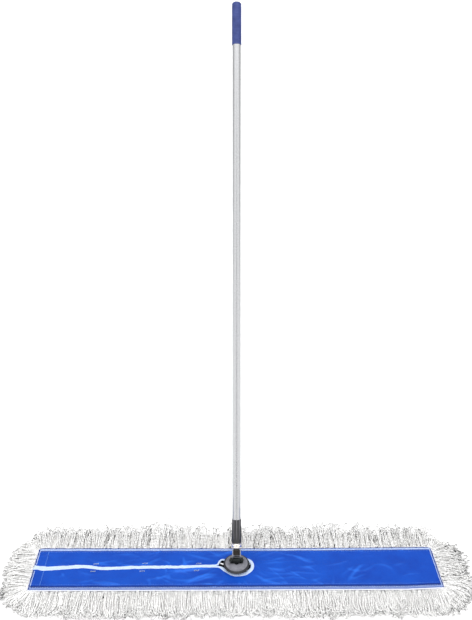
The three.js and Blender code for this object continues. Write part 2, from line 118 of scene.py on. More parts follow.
def make_camera():
    """The viewpoint: 1.7 m above the floor and 1.6 m in front, looking down 26.5 degrees."""
    data = bpy.data.cameras.new("camera")
    data.sensor_width = 36
    data.lens = 42.1
    data.clip_end = 200
    camera = bpy.data.objects.new("camera", data)
    camera.location = (-0.0538, -1.6172, 1.6985)
    camera.rotation_euler = [math.radians(turn) for turn in (63.50, -0.60, -1.24)]
    bpy.context.scene.collection.objects.link(camera)
    bpy.context.scene.camera = camera


# ---------------- nodes

class Nodes:
    """Builds the nodes of a material or a world. A value that is a socket is linked."""

    def __init__(self, owner):
        owner.use_nodes = True
        self.tree = owner.node_tree

    def fill(self, socket, value):
        if isinstance(value, bpy.types.NodeSocket):
            self.tree.links.new(value, socket)
        elif socket.type == "RGBA":
            socket.default_value = (*value, 1)
        else:
            socket.default_value = value

    def add(self, kind, values=(), **settings):
        node = self.tree.nodes.new("ShaderNode" + kind)
        for name, value in settings.items():
            setattr(node, name, value)
        for socket, value in dict(values).items():
            self.fill(node.inputs[socket], value)
        return node

    def spread(self, value, low, high, start=0.0, end=1.0, curve="LINEAR"):
        """Maps start..end to low..high."""
        node = self.add("MapRange", {"Value": value, "From Min": start, "From Max": end,
                                     "To Min": low, "To Max": high}, interpolation_type=curve)
        return node.outputs["Result"]

    def combine(self, operation, first, second):
        return self.add("Math", {0: first, 1: second}, operation=operation).outputs[0]


class Finish(Nodes):
    """A material, with its constant values on the shader's own sockets."""

    def __init__(self, name, color, roughness, metallic=0.0, **constants):
        self.material = bpy.data.materials.new(name)
        super().__init__(self.material)
        self.shader = self.tree.nodes["Principled BSDF"]
        self.set(Base_Color=color, Roughness=roughness, Metallic=metallic, **constants)

    def set(self, **values):
        """Fills the shader's sockets, named with _ for each space."""
        for name, value in values.items():
            self.fill(self.shader.inputs[name.replace("_", " ")], value)

    def place(self, scale=(1, 1, 1), rotation=(0, 0, 0)):
        """The object's own coordinates in metres, scaled and turned."""
        own = self.add("TexCoord").outputs["Object"]
        node = self.add("Mapping", {"Vector": own, "Scale": scale, "Rotation": rotation})
        return node.outputs["Vector"]

    def noise(self, place, scale, detail=2.0, roughness=0.5):
        node = self.add("TexNoise", {"Vector": place, "Scale": scale, "Detail": detail,
                                     "Roughness": roughness})
        return node.outputs[0]

    def bands(self, place, direction, scale, distortion=0.0):
        node = self.add("TexWave", {"Vector": place, "Scale": scale, "Distortion": distortion},
                        bands_direction=direction)
        return node.outputs["Fac"]

    def weave(self, place, scale, distortion=0.0):
        """Threads both ways across each other."""
        warp = self.bands(place, "X", scale, distortion)
        return self.combine("MULTIPLY", warp, self.bands(place, "Y", scale))

    def painted(self, attribute):
        """Values that the mesh holds point by point."""
        return self.add("Attribute", attribute_name=attribute).outputs["Fac"]

    def mix(self, factor, first, second):
        node = self.add("Mix", data_type="RGBA")
        for socket, value in ((0, factor), (6, first), (7, second)):
            self.fill(node.inputs[socket], value)
        return node.outputs[2]

    def blend(self, value, start, end, first, second):
        """A color that goes from first to second as the value goes from start to end."""
        return self.mix(self.spread(value, 0, 1, start, end), first, second)

    def done(self, color, height, strength, distance, **others):
        """Sets the color and a bump, and gives the material."""
        bump = self.add("Bump", {"Height": height, "Strength": strength, "Distance": distance})
        self.set(Base_Color=color, Normal=bump.outputs["Normal"], **others)
        return self.material


def shaded(color, factor):
    return tuple(factor * channel for channel in color)


# ---------------- materials

def cotton_material():
    """Twisted white cotton: painted shade between the plies, and a fuzzy surface."""
    finish = Finish("cotton", (0.93, 0.925, 0.915), 1.0, Sheen_Weight=0.2, Sheen_Roughness=0.6)
    place = finish.place()
    soil = finish.noise(place, 30, 3)
    fuzz = finish.noise(place, 900, 3, 0.7)
    around = finish.add("UVMap", uv_map="yarn").outputs["UV"]
    plies = finish.bands(around, "X", 0.318)
    tone = finish.blend(soil, 0.3, 0.7, (0.93, 0.925, 0.915), (0.98, 0.978, 0.972))
    # painted shade: the grooves between the plies are darkened
    groove = finish.spread(plies, 0.0, 0.28)
    ply_shaded = finish.mix(groove, tone, (0.80, 0.795, 0.785))
    return finish.done(ply_shaded, finish.combine("SUBTRACT", fuzz, plies), 0.35, 0.4 * MM)


def mat_material():
    """Packed yarn ends, as a pebbled cotton surface with painted shade in the gaps between the ends.
    """
    finish = Finish("yarn_mat", (0.85, 0.845, 0.83), 1.0, Sheen_Weight=0.2)
    ends = finish.add("TexVoronoi", {"Vector": finish.place(), "Scale": 240.0}).outputs["Distance"]
    # painted shade: darker towards the edges of each yarn end's cell
    tone = finish.blend(ends, 0.1, 0.7, (0.95, 0.945, 0.93), (0.78, 0.775, 0.76))
    return finish.done(tone, ends, 0.8, 1.2 * MM)


def nylon_material(name, deep, bright, crest_highlight):
    """Woven nylon between two tones, with fine threads, soft cloudy patches, and a painted highlight
    along the crests of the creases."""
    finish = Finish(name, bright, 0.42, Specular_IOR_Level=0.16)
    place = finish.place()
    weave = finish.weave(place, 290)
    patches = finish.noise(place, 13, 4, 0.6)
    tone = finish.blend(patches, 0.32, 0.68, deep, bright)
    lighter = tuple(1.15 * channel + 0.01 for channel in bright)
    woven = finish.mix(finish.spread(weave, 0, 0.3), tone, lighter)
    # painted highlight: lighter along the crease crests
    highlighted = finish.mix(finish.painted("crest_highlight"), woven, crest_highlight)
    sheen = finish.spread(patches, 0.36, 0.52)
    return finish.done(highlighted, weave, 0.35, 0.12 * MM, Roughness=sheen)


def tape_material(name, color):
    """Woven tape: uneven ribs along its length and fine threads across."""
    finish = Finish(name, color, 0.85, Sheen_Weight=0.1)
    grime = finish.noise(finish.place(), 60, 3)
    along = finish.add("UVMap", uv_map="strip").outputs["UV"]
    weave = finish.weave(along, 700, 0.4)
    darker = shaded(color, 0.84)
    tone = finish.mix(finish.spread(grime, 0, 0.6, 0.35, 0.75), color, darker)
    woven = finish.mix(finish.spread(weave, 0.2, 0), tone, darker)
    return finish.done(woven, weave, 0.5, 0.25 * MM)


def thread_material(name, dark, light):
    finish = Finish(name, light, 0.7)
    fibre = finish.noise(finish.place(), 1500, 2)
    return finish.done(finish.blend(fibre, 0.3, 0.7, dark, light), fibre, 0.4, 0.15 * MM)


def shade_canvas_material():
    """The pocket's canvas lining, painted near-black as the shade inside the closed pocket."""
    finish = Finish("canvas_painted_shade", (0.010, 0.011, 0.015), 0.95, Specular_IOR_Level=0.2)
    weave = finish.weave(finish.place(), 180)
    tone = finish.mix(weave, (0.006, 0.007, 0.010), (0.016, 0.018, 0.024))
    return finish.done(tone, weave, 0.6, 0.3 * MM)


def metal_material(name, color, roughness, grain_scale, rotation=(0, 0, 0), wear=0.12, shade_at_axle=False):
    """Metal with a drawn or rolled grain, and duller patches where it is handled. With the last option
    set, it is painted near-black round the tilt axle: painted shade where the yoke's arms sit in the
    block."""
    finish = Finish(name, color, roughness, 1.0)
    grain = finish.noise(finish.place(grain_scale, rotation), 1.0, 4, 0.65)
    patches = finish.noise(finish.place(), 22, 3)
    shade = finish.combine("MULTIPLY", finish.spread(patches, 1 - wear, 1 + wear), roughness)
    blur = finish.combine("ADD", shade, finish.spread(grain, -0.05, 0.05))
    tone = finish.blend(grain, 0.25, 0.75, shaded(color, 0.82), color)
    if shade_at_axle:
        # painted shade round the tilt axle, near-black with a ragged edge
        place = finish.add("TexCoord").outputs["Object"]
        away = finish.add("VectorMath", {0: place, 1: PIVOT}, operation="DISTANCE").outputs["Value"]
        shade_edge = finish.spread(finish.noise(place, 260, 2), -3 * MM, 3 * MM)
        reach = finish.combine("ADD", away, shade_edge)
        tone = finish.blend(reach, 15 * MM, 21 * MM, (0.025, 0.027, 0.03), tone)
    return finish.done(tone, grain, 0.15, 0.05 * MM, Roughness=blur)


def plastic_material(name, color, roughness, rub=0.06, gloss=0.5, painted_lighting=None):
    """Moulded plastic or rubber: a fine texture, rubbed lighter in places, and mixed to a second
    tone where the mesh's values for it say so: painted shade on the cap, a painted highlight on the
    sleeve."""
    finish = Finish(name, color, roughness, Specular_IOR_Level=gloss)
    place = finish.place()
    texture = finish.noise(place, 900, 2)
    scuffs = finish.noise(place, 55, 5, 0.65)
    lighter = tuple(min(1, channel * 1.25 + rub * 0.3) for channel in color)
    tone = finish.blend(scuffs, 0.35, 0.75, shaded(color, 0.85), lighter)
    # painted light and shade: the mesh's values mix in the second tone
    if painted_lighting:
        tone = finish.mix(finish.painted("painted_lighting"), tone, painted_lighting)
    blur = finish.spread(scuffs, roughness + 0.08, roughness - 0.06)
    return finish.done(tone, texture, 0.25, 0.12 * MM, Roughness=blur)


EVEN_GRAIN = (500, 500, 500)
DRAWN_GRAIN = (1600, 1600, 22)

COTTON = cotton_material()
YARN_MAT = mat_material()
NYLON = nylon_material("blue_nylon", (0.001, 0.042, 0.34), (0.002, 0.066, 0.44), (0.014, 0.12, 0.60))
# painted shade for the folded edges and inside the front band
FOLD_SHADE = nylon_material("painted_fold_shade", (0.003, 0.020, 0.15), (0.005, 0.034, 0.23), (0.01, 0.05, 0.3))
WHITE_TAPE = tape_material("white_tape", (0.55, 0.66, 0.86))
HEADER_TAPE = tape_material("header_tape", (0.72, 0.74, 0.84))
BAND_TAPE = tape_material("overlock_tape", (0.10, 0.16, 0.42))
THREAD = thread_material("white_thread", (0.42, 0.54, 0.82), (0.60, 0.72, 0.94))
BLUE_THREAD = thread_material("blue_thread", (0.05, 0.17, 0.60), (0.14, 0.34, 0.86))
SHADE_LINING = shade_canvas_material()
ALUMINIUM = metal_material("brushed_aluminium", (0.57, 0.575, 0.59), 0.27, DRAWN_GRAIN, (LEAN, 0, 0))
CHROME = metal_material("chrome_plate", (0.92, 0.87, 0.80), 0.24, (300, 300, 300), wear=0.3)
ZINC = metal_material("zinc_steel", (0.36, 0.37, 0.45), 0.36, EVEN_GRAIN)
# the yoke takes painted shade round the tilt axle
YOKE_STEEL = metal_material("yoke_steel", (0.36, 0.37, 0.43), 0.38, EVEN_GRAIN, shade_at_axle=True)
WIRE_STEEL = metal_material("spring_steel", (0.70, 0.71, 0.73), 0.3, (60, 900, 900))
BLACK_STEEL = metal_material("black_steel", (0.06, 0.055, 0.05), 0.42, EVEN_GRAIN)
# its second tone is the painted shade on the cap's sloping side
GREY_PLASTIC = plastic_material("grey_plastic", (0.165, 0.167, 0.195), 0.5, rub=0.2, gloss=0.25,
                                painted_lighting=(0.022, 0.024, 0.028))
BLACK_PLASTIC = plastic_material("black_plastic", (0.004, 0.007, 0.007), 0.5, rub=0.01, gloss=0.2)
CORE_PLASTIC = plastic_material("brown_black_plastic", (0.016, 0.011, 0.007), 0.45, rub=0.02,
                                gloss=0.25)
# its second tone is the painted highlight on the sleeve's flute crests
SLEEVE_PLASTIC = plastic_material("sleeve_plastic", (0.012, 0.012, 0.014), 0.30,
                                  painted_lighting=(0.16, 0.155, 0.17))
WHITE_PLASTIC = plastic_material("natural_nylon", (0.75, 0.74, 0.70), 0.45)
BLUE_RUBBER = plastic_material("blue_rubber", (0.012, 0.031, 0.175), 0.5)


# ---------------- mesh helpers

def mesh_piece(name, vertices, faces, material, sharp_angle=None, body="mop_head"):
    """A smooth-shaded mesh object that rides on a body."""
    mesh = bpy.data.meshes.new(name)
    mesh.from_pydata([tuple(v) for v in vertices], [], [tuple(f) for f in faces])
    mesh.validate()
    mesh.polygons.foreach_set("use_smooth", [True] * len(mesh.polygons))
    if sharp_angle is not None:
        mesh.set_sharp_from_angle(angle=math.radians(sharp_angle))
    mesh.materials.append(material)
    piece = bpy.data.objects.new(name, mesh)
    bpy.context.scene.collection.objects.link(piece)
    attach(piece, body)
    return piece


def add_map(piece, name, mapped):
    """Adds a UV map. mapped turns the faces' corners, as point numbers, into u and v."""
    corners = np.empty(len(piece.data.loops), np.int32)
    piece.data.loops.foreach_get("vertex_index", corners)
    uvs = np.stack(mapped(corners), 1).ravel().astype(np.float32)
    piece.data.uv_layers.new(name=name).data.foreach_set("uv", uvs)


def stand_for(piece, node):
    """Hides a CAD node, for a piece that stands in for it."""
    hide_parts(node)
    return piece


def paint(piece, attribute, values):
    """Gives a mesh a value at each point, for its material to read."""
    piece.data.attributes.new(attribute, "FLOAT", "POINT").data.foreach_set("value", values)


def thicken(piece, thickness):
    """Gives a cloth its thickness, downwards."""
    modifier = piece.modifiers.new("thickness", "SOLIDIFY")
    modifier.thickness = thickness
    modifier.offset = -1


def grid_faces(rows, columns, wrap):
    """Quads of a grid of points, row by row. The columns close on themselves if wrap."""
    row = np.arange(rows - 1)[:, None]
    column = np.arange(columns if wrap else columns - 1)[None, :]
    beside = (column + 1) % columns
    corners = (row * columns + column, row * columns + beside,
               (row + 1) * columns + beside, (row + 1) * columns + column)
    return np.stack(corners, -1).reshape(-1, 4)


def end_caps(rows, columns):
    """The two faces that close a tube of rings."""
    return [list(range(columns))[::-1], list(range((rows - 1) * columns, rows * columns))]


def turned(name, profile, material, body, place=Matrix.Identity(4), segments=64, sharp_angle=35):
    """A lathe piece. The profile is (radius, height) in metres, and a radius of 0 is a pole."""
    angles = np.linspace(0, FULL_TURN, segments, endpoint=False)
    closed = profile[0] == profile[-1]
    if closed:
        profile = profile[:-1]
    vertices, rings = [], []
    for radius, height in profile:
        if radius == 0:
            rings.append([len(vertices)] * segments)
            vertices.append(place @ Vector((0, 0, height)))
        else:
            rings.append(list(range(len(vertices), len(vertices) + segments)))
            vertices += [place @ Vector((radius * math.cos(a), radius * math.sin(a), height))
                         for a in angles]
    if closed:
        rings.append(rings[0])
    faces = []
    for lower, upper in zip(rings, rings[1:]):
        for k in range(segments):
            beside = (k + 1) % segments
            corners = [lower[k], lower[beside], upper[beside], upper[k]]
            faces.append(list(dict.fromkeys(corners)))
    return mesh_piece(name, vertices, faces, material, sharp_angle, body)


def rounded(corners, radius, steps=4):
    """A closed profile with every corner rounded. The first point is repeated at the end."""
    points = []
    for k, corner in enumerate(corners):
        here = Vector(corner)
        before = Vector(corners[k - 1]) - here
        after = Vector(corners[(k + 1) % len(corners)]) - here
        reach = min(radius, before.length * 0.45, after.length * 0.45)
        start = here + before.normalized() * reach
        end = here + after.normalized() * reach
        for step in range(steps + 1):
            t = step / steps
            points.append(tuple((1 - t) ** 2 * start + 2 * t * (1 - t) * here + t ** 2 * end))
    return points + points[:1]


def unit(vectors):
    return vectors / (np.linalg.norm(vectors, axis=-1, keepdims=True) + 1e-12)


def tubes(name, centres, radii, material, twist=0.0, squash=1.0):
    """Closed tubes along many centre lines at once.

    centres is (tubes, points, 3) and radii (tubes, points). twist turns the section by so
    many radians a point, and squash below 1 makes it oval, which gives a two-ply yarn.
    """
    count, points = radii.shape
    tangents = unit(np.gradient(centres, axis=1))
    side = np.cross(tangents[:, 0], (0.0, 0.0, 1.0))
    upright = np.linalg.norm(side, axis=1) < 1e-3
    side[upright] = np.cross(tangents[upright, 0], (1.0, 0.0, 0.0))
    normals = np.empty_like(centres)
    for k in range(points):
        along = tangents[:, k]
        side = unit(side - along * np.sum(side * along, axis=1, keepdims=True))
        normals[:, k] = side
    binormals = np.cross(tangents, normals)
    around = np.linspace(0, FULL_TURN, TUBE_SIDES, endpoint=False)
    turn = twist * np.arange(points)[None, :, None]
    wide, narrow = np.cos(around)[None, None, :], squash * np.sin(around)[None, None, :]
    across = wide * np.cos(turn) - narrow * np.sin(turn)
    upward = wide * np.sin(turn) + narrow * np.cos(turn)
    ring = (centres[:, :, None, :]
            + radii[:, :, None, None] * (across[..., None] * normals[:, :, None, :]
                                         + upward[..., None] * binormals[:, :, None, :]))
    first = (np.arange(count) * points * TUBE_SIDES)[:, None, None]
    quads = (grid_faces(points, TUBE_SIDES, True)[None] + first).reshape(-1, 4)
    near, far = (np.array(cap) + first[:, 0] for cap in end_caps(points, TUBE_SIDES))
    faces = quads.tolist() + near.tolist() + far.tolist()
    piece = mesh_piece(name, ring.reshape(-1, 3).tolist(), faces, material)

    def ply_map(corners):
        """Goes round each tube twice, once for each ply."""
        at = np.arange(len(corners))
        column = corners % TUBE_SIDES
        closing = (column == 0) & (at < quads.size) & np.isin(at % 4, (1, 2))
        column[closing] = TUBE_SIDES
        return 2 * FULL_TURN * column / TUBE_SIDES, corners // TUBE_SIDES

    add_map(piece, "yarn", ply_map)
    return piece


# ---------------- cloth surface

def spline(points, steps):
    """Points in metres on the Catmull-Rom curve through some points in millimetres."""
    padded = np.array([points[0], *points, points[-1]], float) * MM
    spans = len(points) - 1
    at = np.linspace(0, spans, steps + 1)
    k = np.minimum(at.astype(int), spans - 1)
    t = (at - k)[:, None]
    before, start, end, after = (padded[k + n] for n in range(4))
    leave, arrive = (end - before) / 2, (after - start) / 2
    return ((2 * start - 2 * end + leave + arrive) * t ** 3
            + (3 * end - 3 * start - 2 * leave - arrive) * t ** 2 + leave * t + start)


KEYHOLE_CURVE = spline(KEYHOLE, 112)
KEYHOLE_TIP = int(np.argmax(KEYHOLE_CURVE[:, 0]))
SLIT_CURVE = spline(SLIT_PATH, 260)


def slit_shift(x):
    """The y of the slit's middle."""
    return np.interp(x, SLIT_CURVE[:, 0], SLIT_CURVE[:, 1])


def waves(x, y, wavelength, seed):
    """A smooth random surface that sums sine waves, mostly between -1 and 1."""
    rng = np.random.default_rng(seed)
    total = 0.0
    count = 10
    for _ in range(count):
        angle, phase = rng.uniform(0, FULL_TURN, 2)
        rate = FULL_TURN / (wavelength * rng.uniform(0.6, 1.7))
        total = total + np.sin(rate * (x * math.cos(angle) + y * math.sin(angle)) + phase)
    return total / 4


def make_creases(count, seed):
    """Fine creases in the cloth, as (start, reach, width, rise, bend). Every fifth one fans
    out from the keyhole, and the others lie anywhere."""
    rng = np.random.default_rng(seed)
    creases = []
    for k in range(count):
        if k % 5 == 0:
            angle = rng.uniform(0, FULL_TURN)
            toward = np.array([math.cos(angle), math.sin(angle)])
            start = (60 * MM, 40 * MM) * toward
            reach = rng.uniform(50, 150) * MM * ((1.4, 0.55) * toward)
        else:
            start = np.array([rng.uniform(-0.60, 0.56), rng.uniform(-0.066, 0.066)])
            angle = rng.normal(0.0, 0.6) + (math.pi if rng.random() < 0.5 else 0)
            reach = rng.uniform(40, 150) * MM * np.array([math.cos(angle), 0.7 * math.sin(angle)])
        bend = rng.normal(0, 0.10) * np.linalg.norm(reach)
        width = rng.uniform(2.0, 4.6) * MM
        creases.append((start, reach, width, rng.uniform(0.4, 1.4) * MM, bend))
    return creases


CREASES = make_creases(count=170, seed=11)


def crease_height(x, y):
    """Each crease is a bent ridge, steeper on one side, that fades out at its ends."""
    height = np.zeros(np.broadcast(x, y).shape)
    for start, reach, width, rise, bend in CREASES:
        length = np.linalg.norm(reach)
        share = ((x - start[0]) * reach[0] + (y - start[1]) * reach[1]) / length ** 2
        share = np.clip(share, 0, 1)
        away = ((x - start[0]) * reach[1] - (y - start[1]) * reach[0]) / length
        away = (away - 4 * bend * share * (1 - share)) / width
        away = np.where(away > 0, 0.55 * away, away)
        height += rise * np.sin(math.pi * share) * np.exp(-away * away)
    return height


def cloth_height(x, y):
    """Height of the backing's top: it rises over the wires, sags between them and creases."""
    x, y = np.asarray(x, float), np.asarray(y, float)
    side = np.abs(y)
    ridge = 0.5 * MM * np.exp(-((side - WIRE_Y) / (5 * MM)) ** 2)
    sag = -0.9 * MM * np.sin(math.pi * np.minimum(side / WIRE_Y, 1)) ** 2
    past_wire = np.maximum(side - WIRE_Y, 0) / (HALF_WIDTH - WIRE_Y)
    past_end = np.maximum(np.abs(x) - WIRE_END_X, 0) / (HALF_LENGTH - WIRE_END_X)
    slope = -1.6 * MM * past_wire ** 2 - 1.2 * MM * past_end ** 2
    seam = -0.8 * MM * np.exp(-((side - (HALF_WIDTH - BAND_REACH)) / (2.4 * MM)) ** 2)
    ripple = 0.45 * MM * waves(x, y, 70 * MM, 3) + 0.14 * MM * waves(x, y, 17 * MM, 4)
    quiet = np.clip((HALF_WIDTH - side) / (16 * MM), 0.12, 1)
    return CLOTH_TOP + ridge + sag + slope + seam + (ripple + crease_height(x, y)) * quiet


def on_cloth(points, lift):
    """Flat points raised onto the cloth, and a little above it."""
    return np.column_stack([points, cloth_height(*points.T) + lift])


def slit_edges(x):
    """The y of the opening's front and rear edge at an x left of the keyhole's right end."""
    rear, front = KEYHOLE_CURVE[:KEYHOLE_TIP + 1], KEYHOLE_CURVE[KEYHOLE_TIP:][::-1]
    return [np.where(x <= KEYHOLE_START, slit_shift(x) + half_gap, np.interp(x, *curve.T))
            for curve, half_gap in ((front, -SLIT_HALF_GAP), (rear, SLIT_HALF_GAP))]


def blue_backing():
    """The slit nylon cloth, as two halves that are one cloth beyond the keyhole."""
    tip_x, tip_y = KEYHOLE_CURVE[KEYHOLE_TIP]
    left = np.linspace(-HALF_LENGTH, KEYHOLE_START, 200)
    turn = np.linspace(0, math.pi, 48)[1:]
    keyhole = KEYHOLE_START + (tip_x - KEYHOLE_START) * (1 - np.cos(turn)) / 2
    right = np.linspace(tip_x, HALF_LENGTH, 206)[1:]
    columns = np.concatenate([left, keyhole, right])
    rows = 36
    share = np.linspace(0, 1, rows)
    seam_fade = 0.1
    past_tip = tip_y * np.clip(1 - (columns - tip_x) / seam_fade, 0, 1)
    vertices, faces = [], []
    for half, edge in zip((-1, 1), slit_edges(columns)):
        inner = np.where(columns < tip_x - 1e-9, edge, past_tip)[:, None]
        y = inner + (half * HALF_WIDTH - inner) * share
        x = np.broadcast_to(columns[:, None], y.shape)
        quads = grid_faces(len(columns), rows, False) + y.size * len(vertices)
        faces.append(quads if half < 0 else quads[:, ::-1])
        vertices.append(np.stack([x, y, cloth_height(x, y)], -1).reshape(-1, 3))
    vertices, faces = np.concatenate(vertices), np.concatenate(faces)
    piece = mesh_piece("nylon_backing", vertices, faces.tolist(), NYLON)
    # painted highlight on the crease crests, for the nylon to read
    crest_highlight = crease_height(vertices[:, 0], vertices[:, 1]) / (1.7 * MM) - 0.35
    paint(piece, "crest_highlight", np.clip(crest_highlight, 0, 1))
    weld = piece.modifiers.new("weld", "WELD")
    weld.merge_threshold = 0.02 * MM
    thicken(piece, CLOTH_THICKNESS)
    return stand_for(piece, "blue_backing")


# ---------------- bindings and seams

def flat_section(height, droop, points=14):
    """A flat strip's section with round edges, as (share of the width, height). droop
    lowers its outer edge."""
    section = []
    for k in range(points):
        angle = FULL_TURN * k / points
        across = 0.5 * math.copysign(abs(math.cos(angle)) ** 0.55, math.cos(angle))
        upward = math.copysign(abs(math.sin(angle)) ** 0.75, math.sin(angle))
        section.append((across, 0.5 * height * upward - droop * across))
    return section


def strip(name, points, outward, widths, lift, height, material, droop=0.0):
    """A flat tape laid along points on the cloth. outward holds the unit vector across it
    at each point."""
    path = on_cloth(points, lift)
    section = flat_section(height, droop)
    shares, heights = np.array(section).T
    offsets = widths[:, None] * shares
    vertices = np.repeat(path[:, None, :], len(section), axis=1)
    vertices[..., :2] += offsets[..., None] * outward[:, None, :]
    vertices[..., 2] += heights
    length = np.concatenate([[0], np.cumsum(np.linalg.norm(np.diff(path, axis=0), axis=1))])
    rows, count = len(path), len(section)
    faces = grid_faces(rows, count, True).tolist() + end_caps(rows, count)
    piece = mesh_piece(name, vertices.reshape(-1, 3), faces, material, 50)
    add_map(piece, "strip", lambda corners: (offsets.ravel()[corners], length[corners // count]))
    return piece


def opening_path():
    """Points and outward directions along the slit's rear edge, round the keyhole and back,
    with the tape's width at each. The tape narrows along the slit's first 200 mm and widens
    over 34 mm at the keyhole, where its rear side is the later to widen."""
    x = np.linspace(-HALF_LENGTH - 1 * MM, KEYHOLE_START - 5 * MM, 150)
    rear = np.column_stack([x, slit_shift(x) + 0.3 * SLIT_HALF_GAP])
    front = np.column_stack([x, slit_shift(x) - 0.3 * SLIT_HALF_GAP])[::-1]
    points = np.concatenate([rear, KEYHOLE_CURVE[4:-4], front])
    smoothings = 3
    for _ in range(smoothings):
        points[1:-1] = (points[:-2] + 2 * points[1:-1] + points[2:]) / 4
    ahead = unit(np.gradient(points, axis=0))
    share = np.clip((points[:, 0] + HALF_LENGTH) / (200 * MM), 0, 1)
    neck = TAPE_WIDTH_AT_END + (TAPE_WIDTH_AT_NECK - TAPE_WIDTH_AT_END) * share
    later = 30 * MM * np.clip(points[:, 1] / (10 * MM), 0, 1)
    near_hole = np.clip((points[:, 0] - KEYHOLE_START + 14 * MM - later) / (34 * MM), 0, 1)
    return points, to_left(ahead), neck + (TAPE_WIDTH_AT_KEYHOLE - neck) * near_hole


def to_left(directions):
    """Flat directions turned a quarter turn anticlockwise."""
    return np.column_stack([-directions[:, 1], directions[:, 0]])


def slit_tape():
    """White tape folded over the opening's edge, puckered by its stitches."""
    points, outward, widths = opening_path()
    at_end = np.clip(1 - (points[:, 0] + HALF_LENGTH) / (60 * MM), 0, 1)
    lumpy = 1 + 0.05 * waves(*points.T, 26 * MM, 21)
    widths = widths * (lumpy + 0.22 * at_end * np.sin(points[:, 0] / (5.5 * MM)))
    centre = points + outward * (widths / 2 - 0.3 * MM)[:, None]
    lift = 0.35 * MM + 0.3 * MM * waves(*centre.T, 18 * MM, 22)
    tape = strip("opening_tape", centre, outward, widths, lift, TAPE_HEIGHT, WHITE_TAPE)
    stand_for(tape, "slit_binding")
    seam = on_cloth(points + outward * (widths - 2.0 * MM)[:, None], 1.3 * MM)
    return [tape, stitch_row("opening_tape_stitches", [seam], 3.6 * MM, 2.5 * MM, 0.28 * MM)]


def resample(line, pitch):
    """Evenly spaced points along a polyline."""
    steps = np.linalg.norm(np.diff(line, axis=0), axis=1)
    at = np.concatenate([[0], np.cumsum(steps)])
    places = np.arange(0, at[-1], pitch)
    return np.stack([np.interp(places, at, line[:, axis]) for axis in range(3)], 1)


def stitch_row(name, lines, pitch, length, radius, material=THREAD):
    """Lock stitches: short raised lengths of thread along each line."""
    fine_step = 0.1 * MM
    reach = int(length / fine_step)
    centres = []
    for line in lines:
        fine = resample(line, fine_step)
        for start in range(0, len(fine) - reach, int(pitch / fine_step)):
            picks = fine[np.linspace(start, start + reach, 5).astype(int)].copy()
            picks[:, 2] += radius * np.array([-1.2, 0.2, 0.6, 0.2, -1.2])
            centres.append(picks)
    centres = np.array(centres)
    radii = np.broadcast_to(radius * np.array([0.5, 1, 1.1, 1, 0.5]), centres.shape[:2])
    return tubes(name, centres, radii, material)


def edge_outline(inset, step=6 * MM):
    """Points round the outer edge at an inset, from the slit's rear side at the left end,
    round to its front side, with outward directions."""
    radius = max(2 * MM, 3 * MM - inset)
    length, width = HALF_LENGTH - inset - radius, HALF_WIDTH - inset - radius
    corners = np.array([(-length, width), (length, width), (length, -width), (-length, -width)])
    _, (_, start, _), (_, _, end) = end_spans()
    runs = [edge_run([-1.0, 0.0], inset, start, width, step)]
    for k, corner in enumerate(corners):
        turn = math.pi - k * math.pi / 2 - np.linspace(0, math.pi / 2, 6)
        out = np.column_stack([np.cos(turn), np.sin(turn)])
        runs.append((corner + out * radius, out))
        if k < 3:
            run = corners[k + 1] - corner
            count = int(np.linalg.norm(run) / step)
            share = np.arange(1, count)[:, None] / count
            out = np.tile(out[-1], (count - 1, 1))
            runs.append((corner + run * share + out * radius, out))
    points, outward = edge_run([-1.0, 0.0], inset, end, -width, -step)
    runs.append((points[::-1], outward))
    return [np.concatenate(parts) for parts in zip(*runs)]


def header_tape():
    """The white tape that the yarn is sewn under, just outside the cloth's edge."""
    points, outward = edge_outline(-HEADER_WIDTH / 2)
    lift = 0.2 * MM * waves(*points.T, 30 * MM, 31)
    widths = HEADER_WIDTH * (1 + 0.08 * waves(*points.T, 40 * MM, 32))
    tape = strip("header_tape", points, outward, widths, lift, 1.8 * MM, HEADER_TAPE, HEADER_DROP)
    return stand_for(tape, "edge_binding")


def edge_run(out, inset, low, high, step):
    """Points along the edge that faces out, at an inset, with outward directions."""
    along = np.arange(low, high, step)
    edge = np.multiply(out, (HALF_LENGTH - inset, HALF_WIDTH - inset))
    return edge + np.outer(along, np.abs(out[::-1])), np.tile(out, (len(along), 1))


def long_side(side, inset, step=5 * MM):
    return edge_run([0.0, side], inset, -HALF_LENGTH + 3 * MM, HALF_LENGTH - 2 * MM, step)


def end_spans():
    """The short ends' sewn stretches, as (end, low y, high y): the slit parts the left one."""
    slit_y = float(slit_shift(-HALF_LENGTH))
    return [(1, -HALF_WIDTH, HALF_WIDTH), (-1, slit_y + TAPE_WIDTH_AT_END, HALF_WIDTH),
            (-1, -HALF_WIDTH, slit_y - TAPE_WIDTH_AT_END)]


def painted_fold_shades():
    """Dark navy strips: the cloth's folded edge along the rear and both ends, darkened as painted
    shade, and a strip of painted shade inside the front band.
    """
    runs = [long_side(1, REAR_FOLD), long_side(-1, FRONT_FOLD)]
    runs += [edge_run([end, 0.0], REAR_FOLD, low, high, 4 * MM) for end, low, high in end_spans()]
    pieces = []
    for number, (points, outward) in enumerate(runs, 1):
        widths = np.full(len(points), FOLD_WIDTH)
        fold = strip(f"painted_fold_shade_{number}", points, outward, widths, 0.5 * MM, 1.6 * MM, FOLD_SHADE)
        pieces.append(fold)
    return pieces


